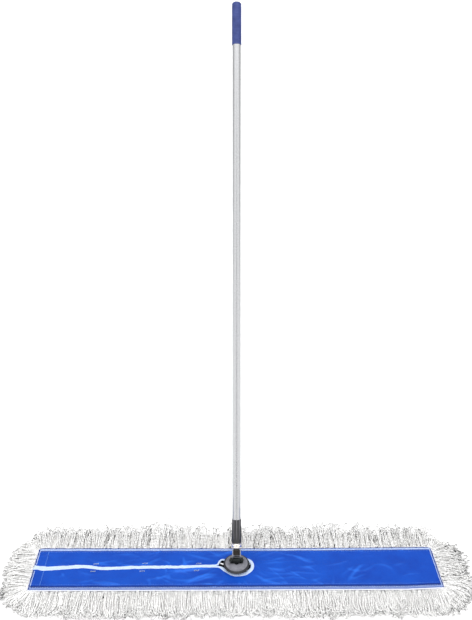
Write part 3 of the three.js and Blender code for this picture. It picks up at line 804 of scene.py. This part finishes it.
def overlock_bands():
    """A flat band along each long side, closely zigzagged with light thread."""
    low, high = 1.25 * MM, 1.75 * MM
    bands, zigzags = [], []
    for side, name, middle, pitch, radius in ((1, "rear", REAR_BAND, 1.9 * MM, 0.58 * MM),
                                              (-1, "front", FRONT_BAND, 7.2 * MM, 0.42 * MM)):
        points, outward = long_side(side, middle)
        widths = np.full(len(points), BAND_WIDTH)
        band = strip(f"overlock_band_{name}", points, outward, widths, 0.6 * MM, 1.6 * MM, BAND_TAPE)
        bands.append(band)
        half = BAND_WIDTH / 2 - 0.5 * MM
        far, near = (long_side(side, middle + offset, pitch)[0] for offset in (-half, half))
        half_pitch = np.array([pitch / 2, 0])
        near = near + half_pitch
        between = (far + near) / 2
        zigzag = np.stack([on_cloth(far, low), on_cloth(between, high), on_cloth(near, low),
                           on_cloth(between + half_pitch, high)], 1).reshape(1, -1, 3)
        radii = np.full(zigzag.shape[:2], radius)
        zigzags.append((f"overlock_thread_{name}", zigzag, radii))
    return bands + [tubes(*zigzag, THREAD) for zigzag in zigzags]


def edge_stitches():
    """Topstitching: a faint row inside each band, and a bold double row at each short end."""
    sides = [on_cloth(long_side(side, BAND_REACH + 2.5 * MM)[0], 0.3 * MM) for side in (-1, 1)]
    faint = stitch_row("side_topstitch", sides, 5.0 * MM, 3.8 * MM, 0.34 * MM, BLUE_THREAD)
    ends = []
    for end, low, high in end_spans():
        for inset in (3.4 * MM, 4.9 * MM):
            points, _ = edge_run([end, 0.0], inset, low + 3 * MM, high - 3 * MM, 2 * MM)
            ends.append(on_cloth(points, 0.5 * MM))
    return [faint, stitch_row("end_topstitch", ends, 3.0 * MM, 2.7 * MM, 0.62 * MM)]


def hem(name, side):
    """The second layer of cloth at the open end, on one side of the slit."""
    start = float(slit_shift(HEM_SEAM_X)) + side * (TAPE_WIDTH_AT_END + 0.5 * MM)
    end = side * (HALF_WIDTH - BAND_REACH)
    rows, columns = 16, 34
    x, y = np.meshgrid(np.linspace(-HALF_LENGTH + FOLD_WIDTH, HEM_SEAM_X + 2.6 * MM, rows),
                       np.linspace(start, end, columns), indexing="ij")
    vertices = np.stack([x, y, cloth_height(x, y) + 0.45 * MM], -1).reshape(-1, 3)
    quads = grid_faces(rows, columns, False)
    piece = mesh_piece(name, vertices, quads if side < 0 else quads[:, ::-1], NYLON)
    thicken(piece, 0.6 * MM)
    return stand_for(piece, "left_" + name)


def hem_stitches():
    """The double row that closes the hem."""
    lines = []
    for side in (-1, 1):
        for offset in (0, 1.5 * MM):
            y = side * np.arange(TAPE_WIDTH_AT_END + 1 * MM, HALF_WIDTH, 2 * MM)
            y = y + float(slit_shift(HEM_SEAM_X))
            y = y[np.abs(y) < HALF_WIDTH - BAND_REACH + 3 * MM]
            points = np.column_stack([np.full(len(y), HEM_SEAM_X + offset), y])
            lines.append(on_cloth(points, 0.75 * MM))
    return stitch_row("hem_stitches", lines, 3.4 * MM, 2.9 * MM, 0.42 * MM, BLUE_THREAD)


def bar_tacks():
    """Three pairs of dense zigzags beside the slit, over the straps' ends."""
    steps = 26
    sway = 1.8 * MM * np.where(np.arange(steps) % 2, 1, -1)
    lines = []
    for low, high in map(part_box, STRAPS):
        for side in (-1, 1):
            x = (low.x + high.x) / 2 + side * 3 * MM + np.linspace(-7, 7, steps) * MM
            y = 0.8 * MM + side * BAR_TACK_Y + sway
            lines.append(on_cloth(np.column_stack([x, y]), 0.5 * MM))
    centres = np.array(lines)
    return tubes("bar_tacks", centres, np.full(centres.shape[:2], 0.75 * MM), THREAD)


def settle(piece):
    """Shifts a soft piece's sides to how the cloth lies: skewed, and wider in front."""
    corners = np.empty(3 * len(piece.data.vertices))
    piece.data.vertices.foreach_get("co", corners)
    x, y = corners[0::3], corners[1::3]
    rear, front = (np.interp(x, SIDE_PLACES, shift) for shift in (REAR_SHIFT, FRONT_SHIFT))
    corners[1::3] = y + np.where(y > 0, rear, -front) * np.clip(np.abs(y) / HALF_WIDTH, 0, 1)
    piece.data.vertices.foreach_set("co", corners)
    piece.data.update()


# ---------------- yarn

def fringe_outline(spacing):
    """Places round the fringe's outer edge and their outward directions, for a rectangle
    with wide round corners, anticlockwise from the right end."""
    length = HALF_LENGTH + FRINGE_REACH
    width = HALF_WIDTH + FRINGE_REACH
    radius = FRINGE_CORNER
    places, outs = [], []
    for k, out in enumerate(np.array([(1.0, 0), (0, 1.0), (-1.0, 0), (0, -1.0)])):
        along = np.array([-out[1], out[0]])
        reach, half = (width, length - radius) if k % 2 else (length, width - radius)
        run = np.arange(-half, half, spacing)[:, None]
        places.append(out * reach + along * run)
        outs.append(np.tile(out, (len(run), 1)))
        turn = np.arange(0, math.pi / 2 * radius, spacing)[:, None] / radius
        direction = out * np.cos(turn) + along * np.sin(turn)
        places.append(out * (reach - radius) + along * half + direction * radius)
        outs.append(direction)
    return np.concatenate(places), np.concatenate(outs)


# How often a new tuft begins, and how much yarns stray from their tuft.
TUFT_CHANCE = 0.26
TUFT_STRETCH = 0.07
OWN_DRIFT = 0.07
SLOPE_SPREAD = 0.10
TIP_CURL = 0.7


def grow_lines(roots, outs, lengths, heights, floors, rise, droop, points, spread_by, rng):
    """Lines that leave the cloth at a slope of rise, bend down to droop and curl at the tip.

    Each line is grown point by point from its heading. Neighbours share a drift, so that
    they gather into tufts.
    """
    count = len(roots)
    tuft = np.cumsum(rng.random(count) < TUFT_CHANCE)
    tuft_drift = rng.normal(0, spread_by, tuft.max() + 1)[tuft]
    tuft_length = rng.normal(1, TUFT_STRETCH, tuft.max() + 1)[tuft]
    own_drift = rng.normal(0, OWN_DRIFT, count)
    wave_size = rng.uniform(0.04, 0.20, count)
    wave_rate = rng.uniform(0.8, 2.2, count)
    wave_phase = rng.uniform(0, FULL_TURN, count)
    curl_turn = rng.normal(0, TIP_CURL, count)
    slope = rise + rng.normal(0, SLOPE_SPREAD, count)
    step = lengths * tuft_length / (points - 1)
    centres = np.empty((count, points, 3))
    here = np.column_stack([roots, heights])
    centres[:, 0] = here
    for k in range(1, points):
        u = k / (points - 1)
        tip = max(0.0, (u - 0.6) / 0.4)
        heading = (tuft_drift * u ** 0.7 + own_drift + curl_turn * tip ** 1.5
                   + wave_size * np.sin(wave_rate * FULL_TURN * u + wave_phase))
        pitch = slope - (droop + slope) * u + 0.06 * np.sin(wave_rate * 7 * u + wave_phase)
        flat = np.cos(heading)[:, None] * outs + np.sin(heading)[:, None] * to_left(outs)
        ahead = np.column_stack([np.cos(pitch)[:, None] * flat, np.sin(pitch)])
        here = here + step[:, None] * ahead
        here[:, 2] = np.maximum(here[:, 2], floors)
        centres[:, k] = here
    return centres


ROOT_GAP = 1.7 * MM
TIP_GAPS = (2.4 * MM, 6.6 * MM)
LOOP_BEND = 0.10


def looped(lines, rng):
    """Turns each line into a loop of yarn, out along one side and back along the other.
    The loop widens towards its tip and closes there with a round bend."""
    count, points, _ = lines.shape
    straight = np.linspace(0, 1 - LOOP_BEND, points - 2)
    closing = 1 - LOOP_BEND + LOOP_BEND * np.sin(math.pi / 2 * np.array([0.34, 0.67, 1.0]))
    share = np.concatenate([straight, closing])
    at = share * (points - 1)
    k = np.minimum(at.astype(int), points - 2)
    t = (at - k)[None, :, None]
    centres = lines[:, k] * (1 - t) + lines[:, k + 1] * t
    ahead = unit(np.gradient(lines, axis=1))[:, np.round(at).astype(int)]
    level = unit(np.cross(ahead, (0.0, 0.0, 1.0)))
    tilt = rng.normal(0, 0.25, count)[:, None, None]
    across = np.cos(tilt) * level + np.sin(tilt) * np.cross(level, ahead)
    widest = rng.uniform(*TIP_GAPS, count)[:, None]
    half = ROOT_GAP + (widest - ROOT_GAP) * share ** 1.6
    half = half * np.sqrt(1 - np.clip((share - 1 + LOOP_BEND) / LOOP_BEND, 0, 1) ** 2)
    offset = across * half[..., None]
    loops = np.concatenate([centres + offset, (centres - offset)[:, -2::-1]], axis=1)
    loops[..., 2] = np.maximum(loops[..., 2], YARN_RADIUS)
    return loops


def yarn_piece(name, groups, rng):
    """Several groups of yarns, joined in one mesh."""
    parts = []
    for k, centres in enumerate(groups):
        count, points, _ = centres.shape
        pitch = np.linalg.norm(centres[:, 1] - centres[:, 0], axis=1).mean()
        thickness = rng.uniform(0.85, 1.15, (count, 1)) * rng.uniform(0.93, 1.07, (count, points))
        turn = FULL_TURN * pitch / YARN_TWIST_PITCH
        parts.append(tubes(f"{name}_{k}", centres, YARN_RADIUS * thickness, COTTON, turn, YARN_SQUASH))
    yarn = parts[0]
    with bpy.context.temp_override(active_object=yarn, selected_editable_objects=parts):
        bpy.ops.object.join()
    yarn.name = name
    yarn.data.name = name
    return yarn


# The fringe's length on its four sides.
SIDE_REACH = {"right": 88 * MM, "rear": 82 * MM, "left": 78 * MM, "front": 74 * MM}

# The rear fringe's upper layers stand up a little, and it is thinner than the rest.
DROOP = 0.30
REAR_RISE = 0.20
REAR_GAPS = 0.40

# How much shorter the fringe is at the corners: rear right, rear left, front left and
# front right.
CORNER_TRIM = np.array([0.40, 0.24, 0.08, 0.12])

# Layers of the fringe, from the floor up: how far inside the cloth's edge the yarn starts,
# its height there, its lowest height, its slope there, its share of the length, and the
# spacing round the outer edge.
FRINGE_LAYERS = [
    {"inset": 14, "height": 5.0, "floor": 2.0, "rise": 0.00, "share": 0.97, "spacing": 8.8},
    {"inset": 11, "height": 8.4, "floor": 3.6, "rise": 0.02, "share": 1.00, "spacing": 8.6},
    {"inset": 7, "height": 11.8, "floor": 5.2, "rise": 0.04, "share": 1.00, "spacing": 8.4},
    {"inset": 4, "height": 15.2, "floor": 6.8, "rise": 0.04, "share": 0.98, "spacing": 8.2},
    {"inset": 1, "height": 18.4, "floor": 8.4, "rise": 0.06, "share": 0.93, "spacing": 8.0},
]


def fringe_reach(out_x, out_y):
    """How far the fringe reaches in a direction, with the corners cut short."""
    ends = np.where(out_x > 0, SIDE_REACH["right"], SIDE_REACH["left"])
    sides = np.where(out_y > 0, SIDE_REACH["rear"], SIDE_REACH["front"])
    quadrant = (np.arctan2(out_y, out_x) // (math.pi / 2)).astype(int) % 4
    trim = CORNER_TRIM[quadrant] * (2 * out_x * out_y) ** 2
    return (out_x ** 2 * ends + out_y ** 2 * sides) * (1 - trim)


def fringe():
    """The layers of looped yarn all round, one piece for each side."""
    rng = np.random.default_rng(5)
    gathered = [[] for _ in SIDE_REACH]
    for level, layer in zip(np.linspace(0, 1, len(FRINGE_LAYERS)), FRINGE_LAYERS):
        places, outs = fringe_outline(layer["spacing"] * MM)
        count = len(places)
        places = places + to_left(outs) * rng.normal(0, 1.2 * MM, (count, 1))
        inset = layer["inset"] * MM + rng.uniform(0, 2 * MM, count)
        roots = places - outs * (FRINGE_REACH + inset)[:, None]
        around = np.arange(count)
        ragged = 4.5 * MM * np.sin(around / 3.6 + layer["inset"]) + 4 * MM * np.sin(around / 9.7)
        straight = (fringe_reach(*outs.T) + inset) * layer["share"]
        lengths = straight * 1.10 + ragged + rng.normal(0, 4 * MM, count)
        heights = layer["height"] * MM + rng.uniform(-1, 1, count) * MM
        floors = layer["floor"] * MM + rng.uniform(0, 2.2 * MM, count)
        rearward = np.maximum(outs[:, 1], 0) ** 4
        lifted = (0.5 + 0.5 * level) * rearward
        rise = layer["rise"] + REAR_RISE * lifted
        droop = DROOP * (1 - lifted) - REAR_RISE * lifted
        lines = grow_lines(roots, outs, lengths, heights, floors, rise, droop, 11, 0.12, rng)
        loops = looped(lines, rng)
        side = np.round(np.arctan2(outs[:, 1], outs[:, 0]) / (math.pi / 2)).astype(int) % 4
        kept = rng.random(count) > REAR_GAPS * rearward
        for k, group in enumerate(gathered):
            group.append(loops[kept & (side == k)])
    return [yarn_piece(f"fringe_{name}", groups, rng) for name, groups in zip(SIDE_REACH, gathered)]


def sole_lines(roots, out, lengths, height, floor, rng):
    count = len(roots)
    outs = np.tile(out, (count, 1))
    heights = height + rng.uniform(-0.5, 0.8, count) * MM
    floors = floor + rng.uniform(0, 1, count) * MM
    return grow_lines(roots, outs, lengths, heights, floors, 0.0, DROOP, 9, 0.10, rng)


def sole_yarn():
    """Long yarns under the cloth, laid outwards from the middle of the sole."""
    rng = np.random.default_rng(8)
    spacing = 6.4 * MM
    pieces = []
    for side, name in ((1.0, "rear"), (-1.0, "front")):
        groups = []
        for start, height in ((5 * MM, 3.4 * MM), (40 * MM, 3.0 * MM)):
            x = np.arange(-HALF_LENGTH + 12 * MM, HALF_LENGTH - 12 * MM, spacing)
            x = x + rng.normal(0, 1 * MM, len(x))
            roots = np.stack([x, side * (start + rng.uniform(0, 8 * MM, len(x)))], 1)
            lengths = HALF_WIDTH - start + 48 * MM + rng.normal(0, 6 * MM, len(x))
            groups.append(sole_lines(roots, [0.0, side], lengths, height, 1.95 * MM, rng))
        pieces.append(yarn_piece(f"sole_yarn_{name}", groups, rng))
    ends = []
    for side in (-1.0, 1.0):
        y = np.arange(-HALF_WIDTH + 6 * MM, HALF_WIDTH - 6 * MM, spacing)
        x = side * (HALF_LENGTH - 40 * MM - rng.uniform(0, 10 * MM, len(y)))
        lengths = 90 * MM + rng.normal(0, 6 * MM, len(y))
        roots = np.stack([x, y], 1)
        ends.append(sole_lines(roots, [side, 0.0], lengths, 5.4 * MM, 3.2 * MM, rng))
    pieces.append(yarn_piece("sole_yarn_ends", ends, rng))
    return pieces


def yarn_bed():
    """The dense mat of yarn under the canvas, which thins out under the fringe. Its levels
    are (inset from the cloth's edge, height, height at the rear) in millimetres."""
    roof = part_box("base_canvas")[0].z / MM - 0.3
    levels = [(30, 4.2, 4.2), (3, 4.8, 4.8), (-24, 3.2, 3.2), (-56, 2.2, 3.2), (-58, 3.4, 8.5),
              (-54, 4.8, 12.5), (-26, 9.4, 13.0), (0, roof - 0.8, roof),
              (3, roof - 0.4, roof - 0.4), (30, roof, roof)]
    across = 90
    count = 4 * across
    side, share = np.divmod(np.arange(count) / across, 1)
    along, one = 2 * share - 1, np.ones(count)
    x = np.choose(side.astype(int), [one, -along, -one, along])
    y = np.choose(side.astype(int), [along, one, -along, -one])
    at_corner = np.clip((np.abs(x * y) - 0.85) / 0.15, 0, 1)
    rearness = np.clip((y - 0.7) / 0.3, 0, 1)
    vertices = []
    for inset, height, rear_height in levels:
        outside = max(0, -inset) * MM
        reach = -inset * MM + outside * (0.25 * rearness - 0.5 * at_corner)
        length, width = HALF_LENGTH + reach, HALF_WIDTH + reach
        lump = 0.7 * MM * waves(x * length, y * width, 14 * MM, 41)
        level = (height + (rear_height - height) * rearness) * MM + 0.4 * lump
        vertices.append(np.column_stack([x * (length + lump), y * (width + lump), level]))
    faces = grid_faces(len(levels), count, True).tolist() + end_caps(len(levels), count)
    bed = mesh_piece("yarn_bed", np.concatenate(vertices), faces, YARN_MAT)
    stand_for(bed, "cotton_yarn")
    return bed


# ---------------- frame and swivel

def swivel_cap():
    """The grey cap: a hub under a wide head with a sloping side painted dark as shade, and a
    flat face with a low lip round it."""
    low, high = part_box("swivel_cover")
    bottom, rim, top = low.z / MM, high.x / MM, high.z / MM
    hub, bore, cavity, cavity_top = 26.5, 6.9, 16.5, 28.5
    under = [(cavity, bottom), (hub, bottom), (hub, 32.9), (hub + 1.2, 33.9), (rim - 1.4, 34.1)]
    side = [(rim - 0.3, 34.4), (rim, 35.1), (rim - 0.5, 35.9), (rim - 1.9, 37.0),
            (rim - 3.8, 38.2), (rim - 5.6, 39.0)]
    face = [(rim - 6.2, top), (rim - 7.2, top), (rim - 8.0, top - 0.4), (rim - 9.2, top - 0.7),
            (16.5, top - 0.7), (15.4, top - 0.5), (14.4, top), (bore + 0.6, top),
            (bore, top - 0.6), (bore, cavity_top), (cavity, cavity_top), (cavity, bottom)]
    profile = [(radius * MM, height * MM) for radius, height in under + side + face]
    segments = 96
    cap = turned("cap", profile, GREY_PLASTIC, "mop_head", segments=segments, sharp_angle=40)
    # painted shade on the sloping side
    painted_lighting = [0.0] * len(under) + [1.0] * len(side) + [0.0] * (len(face) - 1)
    paint(cap, "painted_lighting", np.repeat(painted_lighting, segments))
    stand_for(cap, "swivel_cover")


def pivot_post():
    """The flanged post that turns in the cap, hollow for the block's screw."""
    low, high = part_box("swivel_post")
    radius, flange, shank, head = 6.5 * MM, high.x, 2.7 * MM, 5.3 * MM
    flange_top, shoulder = low.z + 2.6 * MM, low.z + 2.9 * MM
    corners = [(head, low.z), (flange, low.z), (flange, flange_top), (radius, flange_top),
               (radius, high.z), (shank, high.z), (shank, shoulder), (head, shoulder)]
    post = turned("post", rounded(corners, 0.5 * MM), BLACK_PLASTIC, "swivel")
    stand_for(post, "swivel_post")


def soften(node, material, width=0.0, angle=30):
    """Keeps a CAD node's shape, rounds its edges and gives it a finish."""
    piece = frame["nodes"][node]
    piece.data.materials.clear()
    piece.data.materials.append(material)
    piece.data.polygons.foreach_set("use_smooth", [True] * len(piece.data.polygons))
    piece.data.set_sharp_from_angle(angle=math.radians(angle))
    if width:
        bevel = piece.modifiers.new("bevel", "BEVEL")
        bevel.width = width
        bevel.segments = 3
        bevel.limit_method = "ANGLE"
        bevel.angle_limit = math.radians(angle)
        bevel.harden_normals = True


def finish_carried_nodes():
    """CAD nodes that keep their shape, with the width of their rounded edges."""
    for node in ["base_canvas", *STRAPS]:
        # the lining and straps carry the near-black painted shade of the pocket's inside
        soften(node, SHADE_LINING)
    for node in ("left_wire", "right_wire"):
        soften(node, WIRE_STEEL, angle=50)
    for node, material, slot_name, width in [
            ("lower_plate", ZINC, "zinc_steel", 0.3),
            ("upper_plate", ZINC, "zinc_steel", 0.3),
            *[(f"plate_rivet_{number}", ZINC, "zinc_steel", 0.4) for number in (1, 2, 3, 4)],
            ("thrust_washer", WHITE_PLASTIC, "white_plastic", 0.2),
            ("tube_insert", WHITE_PLASTIC, "white_plastic", 0.3),
            ("block_screw", ZINC, "zinc_steel", 0.3),
            ("pivot_block", BLACK_PLASTIC, "black_plastic", 0.7),
            ("pivot_pin", BLACK_STEEL, "zinc_steel", 0.3),
            ("pin_nut", BLACK_STEEL, "zinc_steel", 0.3),
            ("steel_yoke", YOKE_STEEL, "zinc_steel", 0.5),
            ("neck_collar", YOKE_STEEL, "zinc_steel", 0.6),
            ("neck_core", CORE_PLASTIC, "black_plastic", 0.8),
            ("threaded_stud", BLACK_STEEL, "black_steel", 0.4)]:
        soften(node, material, width * MM)


# ---------------- handle

def handle_turned(name, profile, material, node, segments=96, sharp_angle=35):
    """A lathe piece on the handle's axis. The profile is in millimetres from the pivot."""
    profile = [(radius * MM, height * MM) for radius, height in profile]
    piece = turned(name, profile, material, "handle", HANDLE_FRAME, segments, sharp_angle)
    stand_for(piece, node)


def ferrule():
    """Chrome ring with a rolled bead at each end of a swelling middle."""
    bottom, top, radius, bore = 41, 54.5, 16.4, 5.9
    bead = [(1.8, 0), (0.7, 0.25), (0.2, 1.1), (0.5, 2.0), (0.75, 2.6)]
    profile = [(bore, bottom)] + [(radius - inset, bottom + height) for inset, height in bead]
    for t in np.linspace(0, 1, 9):
        swell = 0.75 * math.sin(math.pi * t)
        profile.append((radius - 0.75 + swell, bottom + 3.2 + t * (top - bottom - 6.4)))
    profile += [(radius - inset, top - height) for inset, height in bead[::-1]]
    profile += [(bore, top), (bore, bottom)]
    handle_turned("chrome_ferrule", profile, CHROME, "ferrule_ring")


def socket_sleeve():
    """The black sleeve: ten flutes that run out into a plain flared foot."""
    bottom, top, floor = 54.8, 125.5, 69.4
    foot_radius, top_radius, bore, stud_bore, flutes = 15.4, 13.9, 13.0, 5.9, 10
    columns, rows = 200, 64
    share = np.linspace(0, 1, rows)
    angle = FULL_TURN * np.arange(columns) / columns
    step = share * (rows - 1)
    lip = 0.9 * np.clip(1 - step / 3, 0, 1) ** 2 + 0.5 * np.clip(1 - (rows - 1 - step) / 2, 0, 1) ** 2
    depth = 1.15 * np.clip((share - 0.13) / 0.22, 0, 1) * np.clip((1 - share) / 0.02 + 0.2, 0, 1)
    groove = 0.5 + 0.5 * np.cos(flutes * (angle - math.pi / 2))
    outer = foot_radius + (top_radius - foot_radius) * share - lip
    radii = outer[:, None] - depth[:, None] * (1 - groove) ** 2.2
    inner = np.array([bore, bore, stud_bore, stud_bore])
    radii = np.concatenate([radii, np.repeat(inner[:, None], columns, axis=1)])
    heights = np.concatenate([bottom + share * (top - bottom), [top - 0.3, floor, floor, bottom]])
    rings = len(heights)
    heights = np.repeat(heights[:, None], columns, axis=1)
    vertices = np.stack([radii * np.cos(angle), radii * np.sin(angle), heights], -1).reshape(-1, 3)
    last = (rings - 1) * columns
    faces = grid_faces(rings, columns, True).tolist()
    faces += [(last + k, last + (k + 1) % columns, (k + 1) % columns, k) for k in range(columns)]
    placed = [HANDLE_FRAME @ Vector(v * MM) for v in vertices]
    sleeve = mesh_piece("fluted_sleeve", placed, faces, SLEEVE_PLASTIC, 50, "handle")
    painted_lighting = np.zeros((rings, columns))
    # painted highlight on the flute crests, strongest at the top and fading out towards the foot
    painted_lighting[:rows] = groove ** 6 * ((0.15 + 0.85 * share) * np.clip((share - 0.12) / 0.1, 0, 1))[:, None]
    paint(sleeve, "painted_lighting", painted_lighting.ravel())
    stand_for(sleeve, "socket_sleeve")


def aluminium_tube():
    outer, inner, bottom, top = 12.7, 11.7, 70, 1655
    wall = [(outer, level) for level in np.linspace(bottom, top, 60)]
    profile = [(inner, bottom), *wall, (inner, top), (inner, bottom)]
    handle_turned("alloy_tube", profile, ALUMINIUM, "handle_tube")


def ribbed_grip():
    """The blue grip: a collar, close round ribs and a domed closed end."""
    bottom, top, radius, bore = 1539, 1665, 14.2, 13.0
    collar = [(-0.9, 0), (0.1, 0.7), (0.3, 2.0), (0.1, 3.4), (-0.7, 4.2)]
    profile = [(bore, bottom)] + [(radius + rise, bottom + height) for rise, height in collar]
    ribs, first, last = 24, bottom + 5.0, top - 12.5
    pitch = (last - first) / ribs
    for k in range(ribs):
        for share, rise in ((0.1, -0.65), (0.3, -0.05), (0.5, 0.12), (0.7, -0.05), (0.9, -0.65)):
            profile.append((radius + rise, first + pitch * (k + share)))
    dome, steps, wall = 8.0, 8, 7
    for k in range(steps):
        turn = math.pi / 2 * k / steps
        profile.append(((radius - 0.2) * math.cos(turn) ** 0.7, top - dome + dome * math.sin(turn)))
    profile += [(0, top), (0, top - wall), (bore, top - wall), (bore, bottom)]
    handle_turned("ribbed_grip", profile, BLUE_RUBBER, "hand_grip", 72, 60)


# ---------------- stage

def make_floor():
    mesh = bpy.data.meshes.new("floor")
    reach = 40.0
    corners = [(-reach, -reach, 0), (reach, -reach, 0), (reach, reach, 0), (-reach, reach, 0)]
    mesh.from_pydata(corners, [], [(0, 1, 2, 3)])
    mesh.materials.append(Finish("studio_floor", (0.92, 0.92, 0.92), 0.9).material)
    floor = bpy.data.objects.new("floor", mesh)
    bpy.context.scene.collection.objects.link(floor)


def make_world():
    """A white studio. The camera sees plain white, and the object is lit by a soft sky that
    is bright overhead and in front, with a darker patch at the camera and a dim rear."""
    world = bpy.data.worlds.new("studio")
    bpy.context.scene.world = world
    nodes = Nodes(world)
    rear_light, front_light, camera_dip, overhead_light = 0.72, 0.66, -0.55, 2.95
    direction = nodes.add("TexCoord").outputs["Generated"]

    def facing(vector, toward):
        """The cosine of the angle between two directions."""
        node = nodes.add("VectorMath", {0: vector, 1: toward}, operation="DOT_PRODUCT")
        return node.outputs["Value"]

    axes = nodes.add("SeparateXYZ", {0: direction})
    flat = nodes.add("CombineXYZ", {"X": axes.outputs["X"], "Y": axes.outputs["Y"]})
    level = nodes.add("VectorMath", {0: flat.outputs[0]}, operation="NORMALIZE")
    frontness = facing(level.outputs[0], (0, -1, 0))
    front = nodes.spread(frontness, rear_light, rear_light + front_light, -0.17, 0.57, "SMOOTHSTEP")
    dip = nodes.spread(frontness, 0, camera_dip, 0.92, 0.996, "SMOOTHSTEP")
    walls = nodes.combine("ADD", front, dip)
    above = nodes.spread(facing(direction, (0, -0.15, 0.989)), 0, 1, 0.72, 0.95, "SMOOTHSTEP")
    below = nodes.combine("SUBTRACT", 1.0, above)
    lit = nodes.combine("ADD", nodes.combine("MULTIPLY", walls, below),
                        nodes.combine("MULTIPLY", above, overhead_light))
    sky, white = (nodes.add("Background", {"Color": (1, 1, 1), "Strength": strength}).outputs[0]
                  for strength in (lit, 1.0))
    camera_ray = nodes.add("LightPath").outputs["Is Camera Ray"]
    seen = nodes.add("MixShader", {0: camera_ray, 1: sky, 2: white}).outputs[0]
    nodes.fill(nodes.tree.nodes["World Output"].inputs["Surface"], seen)


# ---------------- build

make_camera()
make_floor()
make_world()
bpy.context.scene.view_settings.view_transform = "Standard"

backing = blue_backing()
trim = [*slit_tape(), header_tape(), *painted_fold_shades(), *overlock_bands(), *edge_stitches(),
        hem("hem_front", -1), hem("hem_rear", 1), hem_stitches(), bar_tacks()]
yarn = [*fringe(), *sole_yarn()]
for soft_piece in [backing, *trim, *yarn, yarn_bed()]:
    settle(soft_piece)
swivel_cap()
pivot_post()
finish_carried_nodes()
ferrule()
socket_sleeve()
aluminium_tube()
ribbed_grip()
